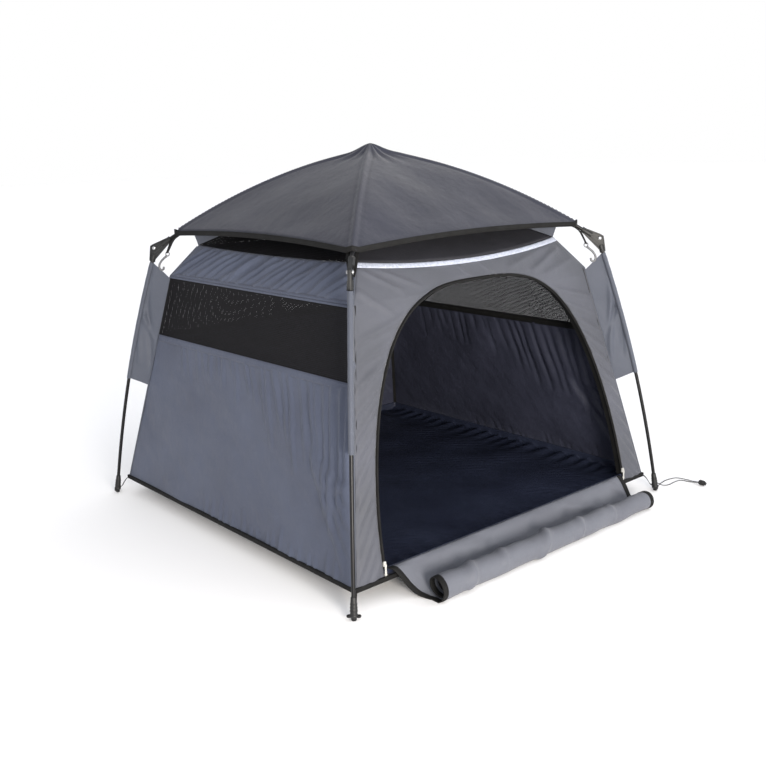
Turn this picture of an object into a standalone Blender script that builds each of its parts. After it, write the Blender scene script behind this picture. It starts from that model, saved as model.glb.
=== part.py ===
"""Dog tent with an outside folding frame: curved roof poles, bowed legs, a hung cabin and a fly.

The tent stands on its four feet and is drawn round the upright line under its hub.  The last step
moves it so that the feet and the door roll together are centred on the origin.
Front is -Y, the doorway side.  Each corner lies on a diagonal of a square plan, so the corner
pieces are drawn once along +X, as (reach, height) from the centre line, and turned to place.
"""
import math

import bmesh
import bpy
from mathutils import Matrix, Vector

# Driving dimensions, metres
GAP = 0.0003
DIAGONAL = math.sqrt(2)

POLE_RADIUS = 0.00475
SOCKET_CLEAR = 0.0005
ROOF_POLE_IN = (0.026, 0.9765)
ROOF_POLE_OUT = (0.600, 0.748)
ROOF_POLE_BOW = 0.030
LEG_TOP = (0.6305, 0.714)
LEG_FOOT = (0.804, 0.012)
LEG_BOW = 0.017
SHOULDER_PIVOT = (0.626, 0.737)
SHOULDER_SOCKET_RADIUS = 0.0078
SHOULDER_SOCKET_LENGTH = 0.026
SHOULDER_PLATE = 0.011
RIVET_RADIUS = 0.0048
RIVET_LENGTH = 0.0175
SHOULDER_LEG_SHARE = 0.62
SHOULDER_CREST = (0.004, 0.009)
SHOULDER_NOSE = (0.0105, 0.0)
SHOULDER_HEEL_HALF = 0.0065
SHOULDER_WEB_INSET = 0.003
SOCKET_OVERLAP = 0.008
BORE_OVERRUN = 0.010

HUB_RADIUS = 0.021
HUB_NECK = 0.018
HUB_PROFILE = [(0.0, 1.0030), (0.006, 1.0020), (0.010, 0.9960), (0.014, 0.9900), (0.0195, 0.9850),
               (HUB_RADIUS, 0.9800), (HUB_RADIUS, 0.9600), (HUB_NECK, 0.9560), (0.0, 0.9560)]
HUB_SIDES = 24
HUB_ARM_RADIUS = 0.0075
HUB_ARM_IN = 0.014
HUB_ARM_END = 0.046

FOOT_HEIGHT = 0.052
FOOT_LOW_RADIUS = 0.0088
FOOT_HIGH_RADIUS = 0.0066
FOOT_UNDER_LEG = 0.004
FOOT_NUB_RISE = 0.001
FOOT_NUB_RADIUS = 0.006
FOOT_EAR_Z = 0.010
FOOT_EAR_THICK = 0.004
FOOT_EAR_REACH = 0.0105
FOOT_EAR_RADIUS = 0.0058
FOOT_HOLE_RADIUS = 0.0026

BASE_HALF = 0.540
BASE_Z = 0.047
BREAK_HALF = 0.415
BREAK_Z = 0.656
TOP_HALF = 0.352
TOP_Z = 0.742
WINDOW_SILL_Z = 0.485
FABRIC = 0.0016
SEAM_RADIUS = 0.0018
SEAM_CLEAR = 0.0022
SEAM_STOP = 0.005
FLOOR_EDGE_Z = 0.0714
FLOOR_INSET = 0.0015
FLOOR_LIFT = 0.001
BINDING_OUT = 0.0046
BINDING_DOWN = 0.006
BINDING_UP = 0.011
BINDING_THICK = 0.002
FOOT_STRAP_TOP = (0.7690, 0.0445)
FOOT_STRAP_END = (0.7903, 0.0275)
FOOT_STRAP_WIDTH = 0.010
FOOT_STRAP_THICK = 0.0018

DOOR_HALF = 0.450
DOOR_SILL_Z = 0.072
DOOR_TOP_Z = 0.672
DOOR_RISE_POWER = 1.77
DOOR_SIDE_POWER = 3.3
ZIP_RADIUS = 0.003
ZIP_SEAT = ZIP_RADIUS + 2 * GAP
SLIDER_SIZE = (0.006, 0.005, 0.012)
CROWN_CLEAR = 0.004

FRONT_SAG = 0.028
SIDE_SAG = 0.007
PIPING_WIDTH = 0.013
PIPING_THICK = 0.003

ROOF_PEAK_Z = 0.940
FLY_REACH = 0.561
FLY_CORNER_CUT = 0.551
HEM_OUT = 1.0080
HEM_RADIUS = 0.0026
HEM_DROP = 0.0010
STRAP_RADIUS = 0.0016
STRAP_SPREAD = 0.0095
STRAP_WAIST = (0.5715, 0.0085, 0.7570)
STRAP_NECK = 0.0016
STRAP_END = (0.5895, 0.7225)
HOOK_RADIUS = 0.0020
HOOK_LINE = [STRAP_END, (0.6000, 0.7120), (0.6100, 0.7000), (0.6155, 0.6880), (0.6150, 0.6790),
             (0.6110, 0.6745)]
FLY_ARCH = 0.035
FLY_RING_POWER = 1.6
FLY_OVER_POLE = 0.0112
FLY_PEAK_LIFT = 0.0165
FLY_PEAK_SPREAD = 0.045

SLEEVE_TOP_Z = 0.690
SLEEVE_LOW_Z = 0.356
SLEEVE_WALL = 0.0012
FIN_SEAM_TOP_Z = 0.650
FIN_SEAM_LOW_Z = 0.335
ROOF_FIN_IN = 0.13
ROOF_FIN_OUT = 0.515
FIN_HIP_LIFT = 0.0022
FIN_ROOF_FOOT = 0.014
FIN_HIP_START = (0.0017, 0.0006)
FIN_HIP_STEP = 0.002
ROOF_LIFT = 0.0009
ROOF_EDGE_IN = 0.00075

ROLL_RADIUS = 0.027
ROLL_Y = -0.6295
ROLL_HALF = 0.375
FLAP_HALF = 0.438
FLAP_LINE = [(0.0, 0.0), (-0.0105, -0.0055), (-0.0220, -0.0220), (-0.0370, -0.0500), (-0.0560, -0.0660),
             (-0.0843, -0.0692)]

CORD_RADIUS = 0.0011
CORD_SPACING = 0.0056
CORD_LOCK_START = (0.6978, -0.6340, 0.0086)
CORD_LOCK_WAY = (-0.05, -1.0, -0.02)
CORD_LOCK_LENGTH = 0.022
CORD_LOCK_RADIUS = 0.0078

CORNERS = {"back_right": 45, "back_left": 135, "front_left": 225, "front_right": 315}
SIDES = {"front": 0, "right": 90, "back": 180, "left": 270}

# The scene's own objects go first
for old in list(bpy.data.objects):
    bpy.data.objects.remove(old, do_unlink=True)
scene = bpy.context.scene
tent = bpy.data.collections.new("dog_tent")
cutters = bpy.data.collections.new("cutters")
scene.collection.children.link(tent)
scene.collection.children.link(cutters)


def material(name, colour, roughness):
    made = bpy.data.materials.new(name)
    made.use_nodes = True
    shader = made.node_tree.nodes["Principled BSDF"]
    shader.inputs["Base Color"].default_value = (*colour, 1.0)
    shader.inputs["Roughness"].default_value = roughness
    return made


WALL_CLOTH = material("wall_polyester", (0.110, 0.122, 0.155), 0.75)
FLY_CLOTH = material("fly_polyester", (0.092, 0.098, 0.120), 0.65)
FLOOR_CLOTH = material("floor_oxford", (0.014, 0.016, 0.030), 0.60)
NETTING = material("black_netting", (0.020, 0.018, 0.022), 0.85)
BINDING = material("black_webbing", (0.018, 0.018, 0.018), 0.80)
REFLECTIVE = material("silver_reflective_tape", (0.680, 0.720, 0.800), 0.35)
FIBREGLASS = material("black_fibreglass", (0.012, 0.012, 0.012), 0.40)
PLASTIC = material("dark_grey_nylon", (0.045, 0.045, 0.048), 0.50)
CORD = material("black_cord", (0.020, 0.020, 0.020), 0.80)


def add(name, mesh, skin, turn=0.0, collection=tent):
    """Link a mesh or curve as one object, turned about the centre line."""
    made = bpy.data.objects.new(name, mesh)
    made.rotation_euler = (0.0, 0.0, math.radians(turn))
    collection.objects.link(made)
    if skin is not None and not mesh.materials:
        mesh.materials.append(skin)
    return made


def as_mesh(source, name=None):
    """Turn a curve, or an object with modifiers, into a plain welded mesh in world places."""
    bpy.context.view_layer.update()
    evaluated = source.evaluated_get(bpy.context.evaluated_depsgraph_get())
    mesh = bpy.data.meshes.new_from_object(evaluated)
    mesh.transform(source.matrix_world)
    work = bmesh.new()
    work.from_mesh(mesh)
    bmesh.ops.remove_doubles(work, verts=work.verts, dist=0.00001)
    bmesh.ops.recalc_face_normals(work, faces=work.faces)
    work.to_mesh(mesh)
    work.free()
    mesh.name = name or source.name
    bpy.data.objects.remove(source, do_unlink=True)
    return mesh


def path_curve(points, radius, resolution=2, caps=True, cyclic=False):
    """A round rod, cord or tube along the points."""
    curve = bpy.data.curves.new("path", "CURVE")
    curve.dimensions = "3D"
    curve.bevel_depth = radius
    curve.bevel_resolution = resolution
    curve.use_fill_caps = caps and not cyclic
    spline = curve.splines.new("POLY")
    spline.points.add(len(points) - 1)
    for slot, point in zip(spline.points, points):
        slot.co = (*point, 1.0)
    spline.use_cyclic_u = cyclic
    return curve


def rod_mesh(points, radius, resolution=2, cyclic=False):
    return as_mesh(add("rod", path_curve(points, radius, resolution, cyclic=cyclic), None))


def sheet_curve(outline, thickness):
    """A flat outline in XY as a slab of the given thickness."""
    curve = bpy.data.curves.new("outline", "CURVE")
    curve.dimensions = "2D"
    curve.fill_mode = "BOTH"
    curve.extrude = thickness / 2
    spline = curve.splines.new("POLY")
    spline.points.add(len(outline) - 1)
    for slot, (u, v) in zip(spline.points, outline):
        slot.co = (u, v, 0.0, 1.0)
    spline.use_cyclic_u = True
    return curve


def slab_mesh(outline, thickness, matrix):
    slab = add("slab", sheet_curve(outline, thickness), None)
    slab.matrix_world = matrix
    return as_mesh(slab)


def boolean(target, tool_mesh, operation):
    tool = add("tool_" + operation.lower(), tool_mesh, None, collection=cutters)
    step = target.modifiers.new(operation.lower(), "BOOLEAN")
    step.operation = operation
    step.solver = "EXACT"
    step.object = tool
    return tool


def carved(name, base, unions=(), cuts=()):
    """Join and cut meshes, in that order, into one clean mesh."""
    body = add(name, base, None)
    tools = [boolean(body, mesh, "UNION") for mesh in unions]
    tools += [boolean(body, mesh, "DIFFERENCE") for mesh in cuts]
    mesh = as_mesh(body, name)
    for tool in tools:
        bpy.data.objects.remove(tool, do_unlink=True)
    return mesh


def arc(start, end, bow, count):
    """Points on a shallow bowed line between two (reach, height) places."""
    run = Vector(end) - Vector(start)
    side = Vector((-run.y, run.x)).normalized()
    places = []
    for step in range(count):
        t = step / (count - 1)
        places.append(Vector(start) + run * t + side * (4 * bow * t * (1 - t)))
    return places


def in_corner(places):
    return [Vector((p.x, 0.0, p.y)) for p in places]


ROOF_LINE = arc(ROOF_POLE_IN, ROOF_POLE_OUT, ROOF_POLE_BOW, 25)
LEG_LINE = arc(LEG_TOP, LEG_FOOT, LEG_BOW, 25)


def roof_height(reach):
    """Height of the roof pole's axis at a reach along the diagonal."""
    t = (reach - ROOF_POLE_IN[0]) / (ROOF_POLE_OUT[0] - ROOF_POLE_IN[0])
    return ROOF_POLE_IN[1] + (ROOF_POLE_OUT[1] - ROOF_POLE_IN[1]) * t + 4.3 * ROOF_POLE_BOW * t * (1 - t)


def fly_height(reach):
    return roof_height(reach) + FLY_OVER_POLE + FLY_PEAK_LIFT * math.exp(-(reach / FLY_PEAK_SPREAD) ** 2)


def wall_half(height):
    """Half width of the cabin at a height, on the lower or the upper wall planes."""
    if height <= BREAK_Z:
        return BASE_HALF - (height - BASE_Z) * (BASE_HALF - BREAK_HALF) / (BREAK_Z - BASE_Z)
    return BREAK_HALF - (height - BREAK_Z) * (BREAK_HALF - TOP_HALF) / (TOP_Z - BREAK_Z)


# Wall planes: u runs along the side, v up the slope, the normal points out
LOWER_LEAN = math.atan((BASE_HALF - BREAK_HALF) / (BREAK_Z - BASE_Z))
UPPER_LEAN = math.atan((BREAK_HALF - TOP_HALF) / (TOP_Z - BREAK_Z))
LOWER_RISE = (BREAK_Z - BASE_Z) / math.cos(LOWER_LEAN)
UPPER_RISE = (TOP_Z - BREAK_Z) / math.cos(UPPER_LEAN)


def plane_matrix(side, lower=True, lift=0.0):
    half, height, lean = (BASE_HALF, BASE_Z, LOWER_LEAN) if lower else (BREAK_HALF, BREAK_Z, UPPER_LEAN)
    turn = Matrix.Rotation(math.radians(SIDES[side]), 4, "Z")
    tilt = Matrix.Rotation(math.radians(90) - lean, 4, "X")
    return turn @ Matrix.Translation((0.0, -half, height)) @ tilt @ Matrix.Translation((0.0, 0.0, lift))


def lower_v(height):
    return (height - BASE_Z) / math.cos(LOWER_LEAN)


def lower_width(v):
    return BASE_HALF - v * math.sin(LOWER_LEAN) - SEAM_CLEAR


def upper_width(v):
    return BREAK_HALF - v * math.sin(UPPER_LEAN) - SEAM_CLEAR


def lower_panel(low_z, high_z):
    v0, v1 = lower_v(low_z), lower_v(high_z)
    w0, w1 = lower_width(v0), lower_width(v1)
    return [(-w0, v0), (w0, v0), (w1, v1), (-w1, v1)]


def sagging_edge(v_end, sag, steps=12):
    """Points of a top edge that hangs by sag at its middle, from right to left."""
    edge = []
    for step in range(steps + 1):
        share = 1 - 2 * step / steps
        v = v_end - sag * (1 - share * share)
        edge.append((share * upper_width(v_end), v))
    return edge


def door_outline(margin=0.0, steps=18):
    """Right half of the doorway's edge, as (half width, height), from sill to crown."""
    edge = []
    for step in range(steps + 1):
        angle = math.radians(90) * step / steps
        width = DOOR_HALF * max(math.cos(angle), 0.0) ** (2 / DOOR_SIDE_POWER)
        rise = (DOOR_TOP_Z - DOOR_SILL_Z) * math.sin(angle) ** (2 / DOOR_RISE_POWER)
        edge.append(Vector((width, DOOR_SILL_Z + rise)))
    edge[-1].x = 0.0
    ends = [edge[0] - Vector((0.0, 0.01)), *edge, edge[-1] - Vector((0.01, 0.0))]
    moved = []
    for before, here, after in zip(ends, edge, ends[2:]):
        normal = Vector((after.y - before.y, before.x - after.x)).normalized()
        moved.append(here + normal * margin)
    return [(p.x, p.y) for p in moved]


# Hub: a domed body with four arms that take the roof poles
def hub_mesh():
    turned = bpy.data.meshes.new("hub_profile")
    rows = [(reach, 0.0, height) for reach, height in HUB_PROFILE]
    turned.from_pydata(rows, [(i, i + 1) for i in range(len(rows) - 1)], [])
    body = add("hub_body", turned, None)
    screw = body.modifiers.new("turn", "SCREW")
    screw.steps = screw.render_steps = HUB_SIDES
    screw.use_merge_vertices = True
    screw.merge_threshold = 0.00001
    base = as_mesh(body)
    arms = []
    bores = []
    start, way = ROOF_LINE[0], (ROOF_LINE[2] - ROOF_LINE[0]).normalized()
    for turn in CORNERS.values():
        spin = Matrix.Rotation(math.radians(turn), 4, "Z")
        inner = start - way * HUB_ARM_IN
        outer = start + way * (HUB_ARM_END - ROOF_POLE_IN[0])
        arm = rod_mesh(in_corner([inner, outer]), HUB_ARM_RADIUS, 3)
        arm.transform(spin)
        arms.append(arm)
        bore_in = start - way * GAP * 2
        bore = rod_mesh(in_corner([bore_in, outer + way * BORE_OVERRUN]), POLE_RADIUS + SOCKET_CLEAR, 2)
        bore.transform(spin)
        bores.append(bore)
    return carved("hub", base, arms, bores)


add("hub", hub_mesh(), PLASTIC)


# Corner frame: roof pole, shoulder, leg and foot
def shoulder_mesh():
    """An elbow: two short sockets joined by a web, with a rivet through it."""
    roof_end, roof_way = ROOF_LINE[-1], (ROOF_LINE[-1] - ROOF_LINE[-3]).normalized()
    leg_end, leg_way = LEG_LINE[0], (LEG_LINE[2] - LEG_LINE[0]).normalized()
    roof_mouth = roof_end - roof_way * SHOULDER_SOCKET_LENGTH
    leg_mouth = leg_end + leg_way * SHOULDER_SOCKET_LENGTH * SHOULDER_LEG_SHARE
    pivot = Vector(SHOULDER_PIVOT)
    upper = rod_mesh(in_corner([roof_mouth, roof_end + roof_way * SOCKET_OVERLAP]), SHOULDER_SOCKET_RADIUS, 3)
    lower = rod_mesh(in_corner([leg_mouth, leg_end - leg_way * SOCKET_OVERLAP]), SHOULDER_SOCKET_RADIUS, 3)
    web_mouth = roof_mouth + roof_way * SHOULDER_WEB_INSET
    web_side = Vector((-roof_way.y, roof_way.x)) * SHOULDER_SOCKET_RADIUS * 0.8
    heel = Vector((SHOULDER_HEEL_HALF, 0.0))
    outline = [web_mouth + web_side, pivot + Vector(SHOULDER_CREST), pivot + Vector(SHOULDER_NOSE),
               leg_mouth + heel + Vector((0.0, SHOULDER_WEB_INSET)),
               leg_mouth - heel + Vector((0.0, SHOULDER_WEB_INSET)), web_mouth - web_side]
    lay = Matrix.Rotation(math.radians(90), 4, "X")
    plate = slab_mesh([(p.x, p.y) for p in outline], SHOULDER_PLATE, lay)
    across = Vector((0.0, RIVET_LENGTH / 2, 0.0))
    middle = Vector((pivot.x, 0.0, pivot.y))
    rivet = rod_mesh([middle - across, middle + across], RIVET_RADIUS, 2)
    bore = POLE_RADIUS + SOCKET_CLEAR
    roof_run = [roof_mouth - roof_way * BORE_OVERRUN, roof_end + roof_way * GAP * 2]
    leg_run = [leg_mouth + leg_way * BORE_OVERRUN, leg_end - leg_way * GAP * 2]
    roof_bore, leg_bore = (rod_mesh(in_corner(run), bore, 2) for run in (roof_run, leg_run))
    return carved("shoulder", plate, [upper, lower, rivet], [roof_bore, leg_bore])


def cone_mesh(low_radius, high_radius, height, sides=16):
    work = bmesh.new()
    bmesh.ops.create_cone(work, cap_ends=True, segments=sides, radius1=low_radius,
                          radius2=high_radius, depth=height,
                          matrix=Matrix.Translation((0.0, 0.0, height / 2)))
    mesh = bpy.data.meshes.new("cone")
    work.to_mesh(mesh)
    work.free()
    return mesh


def ear_outline(reach, steps=6):
    """A plate with two round ends, across the foot."""
    outline = []
    for side, first in ((1, 0), (-1, 180)):
        for step in range(steps + 1):
            angle = math.radians(first + 180 * step / steps)
            outline.append((reach + FOOT_EAR_RADIUS * math.cos(angle),
                            side * FOOT_EAR_REACH + FOOT_EAR_RADIUS * math.sin(angle)))
    return outline


def foot_mesh():
    """A tapered leg socket on a nub, with a plate across it that takes a peg and a cord."""
    leg_end, up = LEG_LINE[-1], (LEG_LINE[-3] - LEG_LINE[-1]).normalized()
    base = leg_end - up * FOOT_UNDER_LEG
    socket = add("socket", cone_mesh(FOOT_LOW_RADIUS, FOOT_HIGH_RADIUS, FOOT_HEIGHT - base.y), None)
    lean = Matrix.Rotation(math.atan2(up.x, up.y), 4, "Y")
    socket.matrix_world = Matrix.Translation((base.x, 0.0, base.y)) @ lean
    body = as_mesh(socket)
    foot_x = base.x
    nub_top = Vector((foot_x, 0.0, FOOT_EAR_Z + FOOT_NUB_RISE))
    nub = rod_mesh([Vector((foot_x, 0.0, 0.0)), nub_top], FOOT_NUB_RADIUS, 3)
    ears = slab_mesh(ear_outline(foot_x), FOOT_EAR_THICK, Matrix.Translation((0.0, 0.0, FOOT_EAR_Z)))
    bore_run = [leg_end - up * GAP, leg_end + up * FOOT_HEIGHT * 1.5]
    bore = rod_mesh(in_corner(bore_run), POLE_RADIUS + SOCKET_CLEAR, 2)
    holes = []
    for side in (-1, 1):
        spot = Vector((foot_x, side * FOOT_EAR_REACH, 0.0))
        tall = Vector((0.0, 0.0, FOOT_HEIGHT / 2))
        holes.append(rod_mesh([spot - tall, spot + tall], FOOT_HOLE_RADIUS, 1))
    return carved("foot", body, [nub, ears], [bore, *holes])


def hip_height(reach):
    """Height of the cabin roof's hip at a reach along the diagonal."""
    return ROOF_PEAK_Z - (ROOF_PEAK_Z - TOP_Z) * reach / (DIAGONAL * TOP_HALF)


def corner_seam(height):
    return Vector((DIAGONAL * wall_half(height), 0.0, height))


def tube_mesh(points, resolution=2):
    """A cloth sleeve round a pole: an open tube given a wall on its outside."""
    tube = add("tube", path_curve(points, POLE_RADIUS + GAP, resolution, caps=False), None)
    skin = bpy.data.meshes.new_from_object(tube.evaluated_get(bpy.context.evaluated_depsgraph_get()))
    bpy.data.objects.remove(tube, do_unlink=True)
    body = add("tube_skin", skin, None)
    wall = body.modifiers.new("wall", "SOLIDIFY")
    wall.thickness = SLEEVE_WALL
    wall.offset = 1.0
    wall.use_even_offset = True
    return as_mesh(body)


def sleeve_mesh():
    """The corner's seam, with the flat fins beside it and their sleeves round the leg and roof poles."""
    seam = rod_mesh([corner_seam(BASE_Z), corner_seam(BREAK_Z), corner_seam(TOP_Z - SEAM_STOP)], SEAM_RADIUS, 1)
    mid_wall = POLE_RADIUS + GAP + SLEEVE_WALL / 2
    leg_run = [p for p in LEG_LINE[::2] if SLEEVE_LOW_Z <= p.y <= SLEEVE_TOP_Z]
    leg_fin = [Vector((p.x - mid_wall, p.y)) for p in leg_run]
    leg_fin += [Vector((DIAGONAL * wall_half(z), z)) for z in (FIN_SEAM_LOW_Z, FIN_SEAM_TOP_Z)]
    roof_run = [p for p in ROOF_LINE[::2] if ROOF_FIN_IN <= p.x <= ROOF_FIN_OUT]
    roof_fin = [Vector((p.x, p.y - mid_wall)) for p in roof_run]
    roof_fin += [Vector((DIAGONAL * wall_half(z), z)) for z in (TOP_Z - FIN_ROOF_FOOT, TOP_Z - SEAM_STOP)]
    top_corner = Vector((DIAGONAL * TOP_HALF, TOP_Z))
    roof_fin.append(top_corner + Vector(FIN_HIP_START))
    roof_fin += [Vector((r, hip_height(r) + FIN_HIP_LIFT)) for r in (top_corner.x - FIN_HIP_STEP, ROOF_FIN_IN)]
    lay = Matrix.Rotation(math.radians(90), 4, "X")
    fins = [slab_mesh([(p.x, p.y) for p in fin], FABRIC, lay) for fin in (leg_fin, roof_fin)]
    sleeves = [tube_mesh(in_corner(run)) for run in (leg_run, roof_run)]
    return carved("sleeve", seam, fins + sleeves)


frame_meshes = {"shoulder": shoulder_mesh(), "foot": foot_mesh(), "leg_sleeve": sleeve_mesh()}
frame_meshes["roof_pole"] = rod_mesh(in_corner(ROOF_LINE[::2]), POLE_RADIUS, 2)
frame_meshes["leg_pole"] = rod_mesh(in_corner(LEG_LINE[::2]), POLE_RADIUS, 2)
frame_skins = {"shoulder": PLASTIC, "foot": PLASTIC, "leg_sleeve": WALL_CLOTH,
               "roof_pole": FIBREGLASS, "leg_pole": FIBREGLASS}
for corner, corner_turn in CORNERS.items():
    for piece, piece_mesh in frame_meshes.items():
        add(f"{piece}_{corner}", piece_mesh, frame_skins[piece], corner_turn)


# Side and back walls: lower panels, netting windows and the leaning upper panels
def wall_slab(outline, side, lower=True, thickness=FABRIC):
    return slab_mesh(outline, thickness, plane_matrix(side, lower))


def upper_panel(sag):
    w0, v0 = upper_width(0.0), GAP * 1.5
    return [(-w0, v0), (w0, v0)] + sagging_edge(UPPER_RISE - GAP, sag)


for wall_side in ("left", "right", "back"):
    panel = lower_panel(BASE_Z, WINDOW_SILL_Z)
    add(f"lower_panel_{wall_side}", wall_slab(panel, wall_side), WALL_CLOTH)
    window = lower_panel(WINDOW_SILL_Z + GAP, BREAK_Z - GAP * 1.5)
    add(f"window_netting_{wall_side}", wall_slab(window, wall_side), NETTING)
    add(f"upper_panel_{wall_side}", wall_slab(upper_panel(SIDE_SAG), wall_side, lower=False), WALL_CLOTH)


# Front wall: a panel on each side of the doorway, the panel over it and the reflective edge
SEATED_ARCH = door_outline(ZIP_SEAT)
CROWN_HALF = next(u for u, z in SEATED_ARCH if z >= BREAK_Z - CROWN_CLEAR)


def front_side_outline(mirror):
    top = lower_v(BREAK_Z) - GAP * 1.5
    edge = [(u, lower_v(z)) for u, z in SEATED_ARCH if z < BREAK_Z - CROWN_CLEAR]
    edge.append((CROWN_HALF, top))
    outline = [(edge[0][0], 0.0), *edge, (lower_width(top), top), (lower_width(0.0), 0.0)]
    return [(mirror * u, v) for u, v in outline]


def front_upper_outline():
    """The panel over the doorway: its foot is notched by the crown of the arch."""
    crown = [(u, (z - BREAK_Z) / math.cos(UPPER_LEAN)) for u, z in SEATED_ARCH if z > BREAK_Z]
    w0, v0 = upper_width(0.0), GAP * 1.5
    left = [(-u, v) for u, v in crown]
    right = [(u, v) for u, v in reversed(crown[:-1])]
    top = sagging_edge(UPPER_RISE - PIPING_WIDTH - GAP * 2, FRONT_SAG)
    return [(-w0, v0), (-CROWN_HALF, v0), *left, *right, (CROWN_HALF, v0), (w0, v0), *top]


for door_side, mirror in (("left", -1), ("right", 1)):
    add(f"front_wall_{door_side}", wall_slab(front_side_outline(mirror), "front"), WALL_CLOTH)
add("front_wall_top", wall_slab(front_upper_outline(), "front", lower=False), WALL_CLOTH)
piping_top = sagging_edge(UPPER_RISE - GAP, FRONT_SAG)
piping_low = [(u, v - PIPING_WIDTH) for u, v in reversed(piping_top)]
piping = wall_slab(piping_top + piping_low, "front", lower=False, thickness=PIPING_THICK)
add("reflective_piping", piping, REFLECTIVE)


# Door: the zip round the arch, its sliders, and the flap rolled down on the ground
def front_face(u, height):
    return Vector((u, -wall_half(height), height))


arch_right = door_outline()
arch_path = [front_face(u, z) for u, z in arch_right]
arch_path += [front_face(-u, z) for u, z in reversed(arch_right[:-1])]
zip_line = rod_mesh(arch_path, ZIP_RADIUS, 1)


def slider_mesh(side):
    """A zip slider on the tape just above the sill."""
    centre = front_face(side * DOOR_HALF, DOOR_SILL_Z + SLIDER_SIZE[2])
    body = bpy.data.meshes.new("slider")
    work = bmesh.new()
    place = Matrix.Translation(centre - Vector((0.0, ZIP_RADIUS, 0.0)))
    bmesh.ops.create_cube(work, size=1.0, matrix=place @ Matrix.Diagonal((*SLIDER_SIZE, 1.0)))
    work.to_mesh(body)
    work.free()
    return body


add("door_zip", carved("door_zip", zip_line, [slider_mesh(-1), slider_mesh(1)]), BINDING)


def flap_mesh():
    """The let-down door from the sill to the roll: a bent sheet that narrows as it runs out."""
    work = bmesh.new()
    rows = []
    sill_y = -(wall_half(FLOOR_EDGE_Z) - FLOOR_INSET) - FABRIC / 2 - GAP
    for dy, dz in FLAP_LINE:
        share = dy / FLAP_LINE[-1][0]
        half = FLAP_HALF + (ROLL_HALF - FLAP_HALF) * share
        y, z = sill_y + dy, FLOOR_EDGE_Z - FABRIC / 2 + dz
        rows.append([work.verts.new((side * half, y, z)) for side in (-1, 1)])
    for near, far in zip(rows, rows[1:]):
        work.faces.new((near[0], near[1], far[1], far[0]))
    mesh = bpy.data.meshes.new("flap")
    work.to_mesh(mesh)
    work.free()
    flap = add("flap", mesh, None)
    wall = flap.modifiers.new("cloth", "SOLIDIFY")
    wall.thickness = FABRIC
    wall.offset = 0.0
    return as_mesh(flap)


add("door_flap", flap_mesh(), WALL_CLOTH)
roll_ends = [Vector((side * ROLL_HALF, ROLL_Y, ROLL_RADIUS + GAP)) for side in (-1, 1)]
add("door_roll", rod_mesh(roll_ends, ROLL_RADIUS, 3), WALL_CLOTH)


# Floor: a shallow tray inside the walls, and the black binding round its foot
def strip_mesh(start, end, width, thick):
    """A flat strap between two corner places, its width across the corner's plane."""
    start, end = Vector((start[0], 0.0, start[1])), Vector((end[0], 0.0, end[1]))
    run = end - start
    work = bmesh.new()
    turn = run.to_track_quat("Z", "X").to_matrix().to_4x4()
    place = Matrix.Translation((start + end) / 2) @ turn
    bmesh.ops.create_cube(work, size=1.0, matrix=place @ Matrix.Diagonal((thick, width, run.length, 1.0)))
    mesh = bpy.data.meshes.new("strap")
    work.to_mesh(mesh)
    work.free()
    return mesh


def tray_mesh(low_z, high_z, inset, thickness, floor=True):
    work = bmesh.new()
    low, high = wall_half(low_z) - inset, wall_half(high_z) - inset
    bmesh.ops.create_cone(work, cap_ends=floor, segments=4, radius1=low * DIAGONAL, radius2=high * DIAGONAL,
                          depth=high_z - low_z, matrix=Matrix.Translation((0.0, 0.0, (low_z + high_z) / 2))
                          @ Matrix.Rotation(math.radians(45), 4, "Z"))
    tops = [f for f in work.faces if f.normal.z > 0.9]
    bmesh.ops.delete(work, geom=tops, context="FACES_ONLY")
    mesh = bpy.data.meshes.new("tray")
    work.to_mesh(mesh)
    work.free()
    tray = add("tray", mesh, None)
    wall = tray.modifiers.new("cloth", "SOLIDIFY")
    wall.thickness = thickness
    wall.offset = -1.0
    wall.use_even_offset = True
    return as_mesh(tray)


add("floor_tub", tray_mesh(BASE_Z + FLOOR_LIFT, FLOOR_EDGE_Z, FLOOR_INSET, FABRIC), FLOOR_CLOTH)
foot_straps = []
for corner_turn in CORNERS.values():
    strap = strip_mesh(FOOT_STRAP_TOP, FOOT_STRAP_END, FOOT_STRAP_WIDTH, FOOT_STRAP_THICK)
    strap.transform(Matrix.Rotation(math.radians(corner_turn), 4, "Z"))
    foot_straps.append(strap)
binding = tray_mesh(BASE_Z - BINDING_DOWN, BASE_Z + BINDING_UP, -BINDING_OUT, BINDING_THICK, floor=False)
add("base_binding", carved("base_binding", binding, foot_straps), BINDING)


# Cabin roof under the fly, and the fins that hang it from the roof poles
def square_skin(name, rule, cells, thickness, skin):
    """A square grid shaped by a rule of (a, b) in -1..1, thickened about its middle."""
    work = bmesh.new()
    bmesh.ops.create_grid(work, x_segments=cells, y_segments=cells, size=1.0)
    along_hip = [f for f in work.faces if f.calc_center_median().x * f.calc_center_median().y > 0]
    bmesh.ops.triangulate(work, faces=along_hip, quad_method="FIXED")
    bmesh.ops.triangulate(work, faces=[f for f in work.faces if len(f.verts) == 4], quad_method="ALTERNATE")
    for vert in work.verts:
        vert.co = rule(vert.co.x, vert.co.y)
    mesh = bpy.data.meshes.new(name)
    work.to_mesh(mesh)
    work.free()
    sheet = add(name, mesh, skin)
    wall = sheet.modifiers.new("cloth", "SOLIDIFY")
    wall.thickness = thickness
    wall.offset = 0.0
    return sheet


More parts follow.
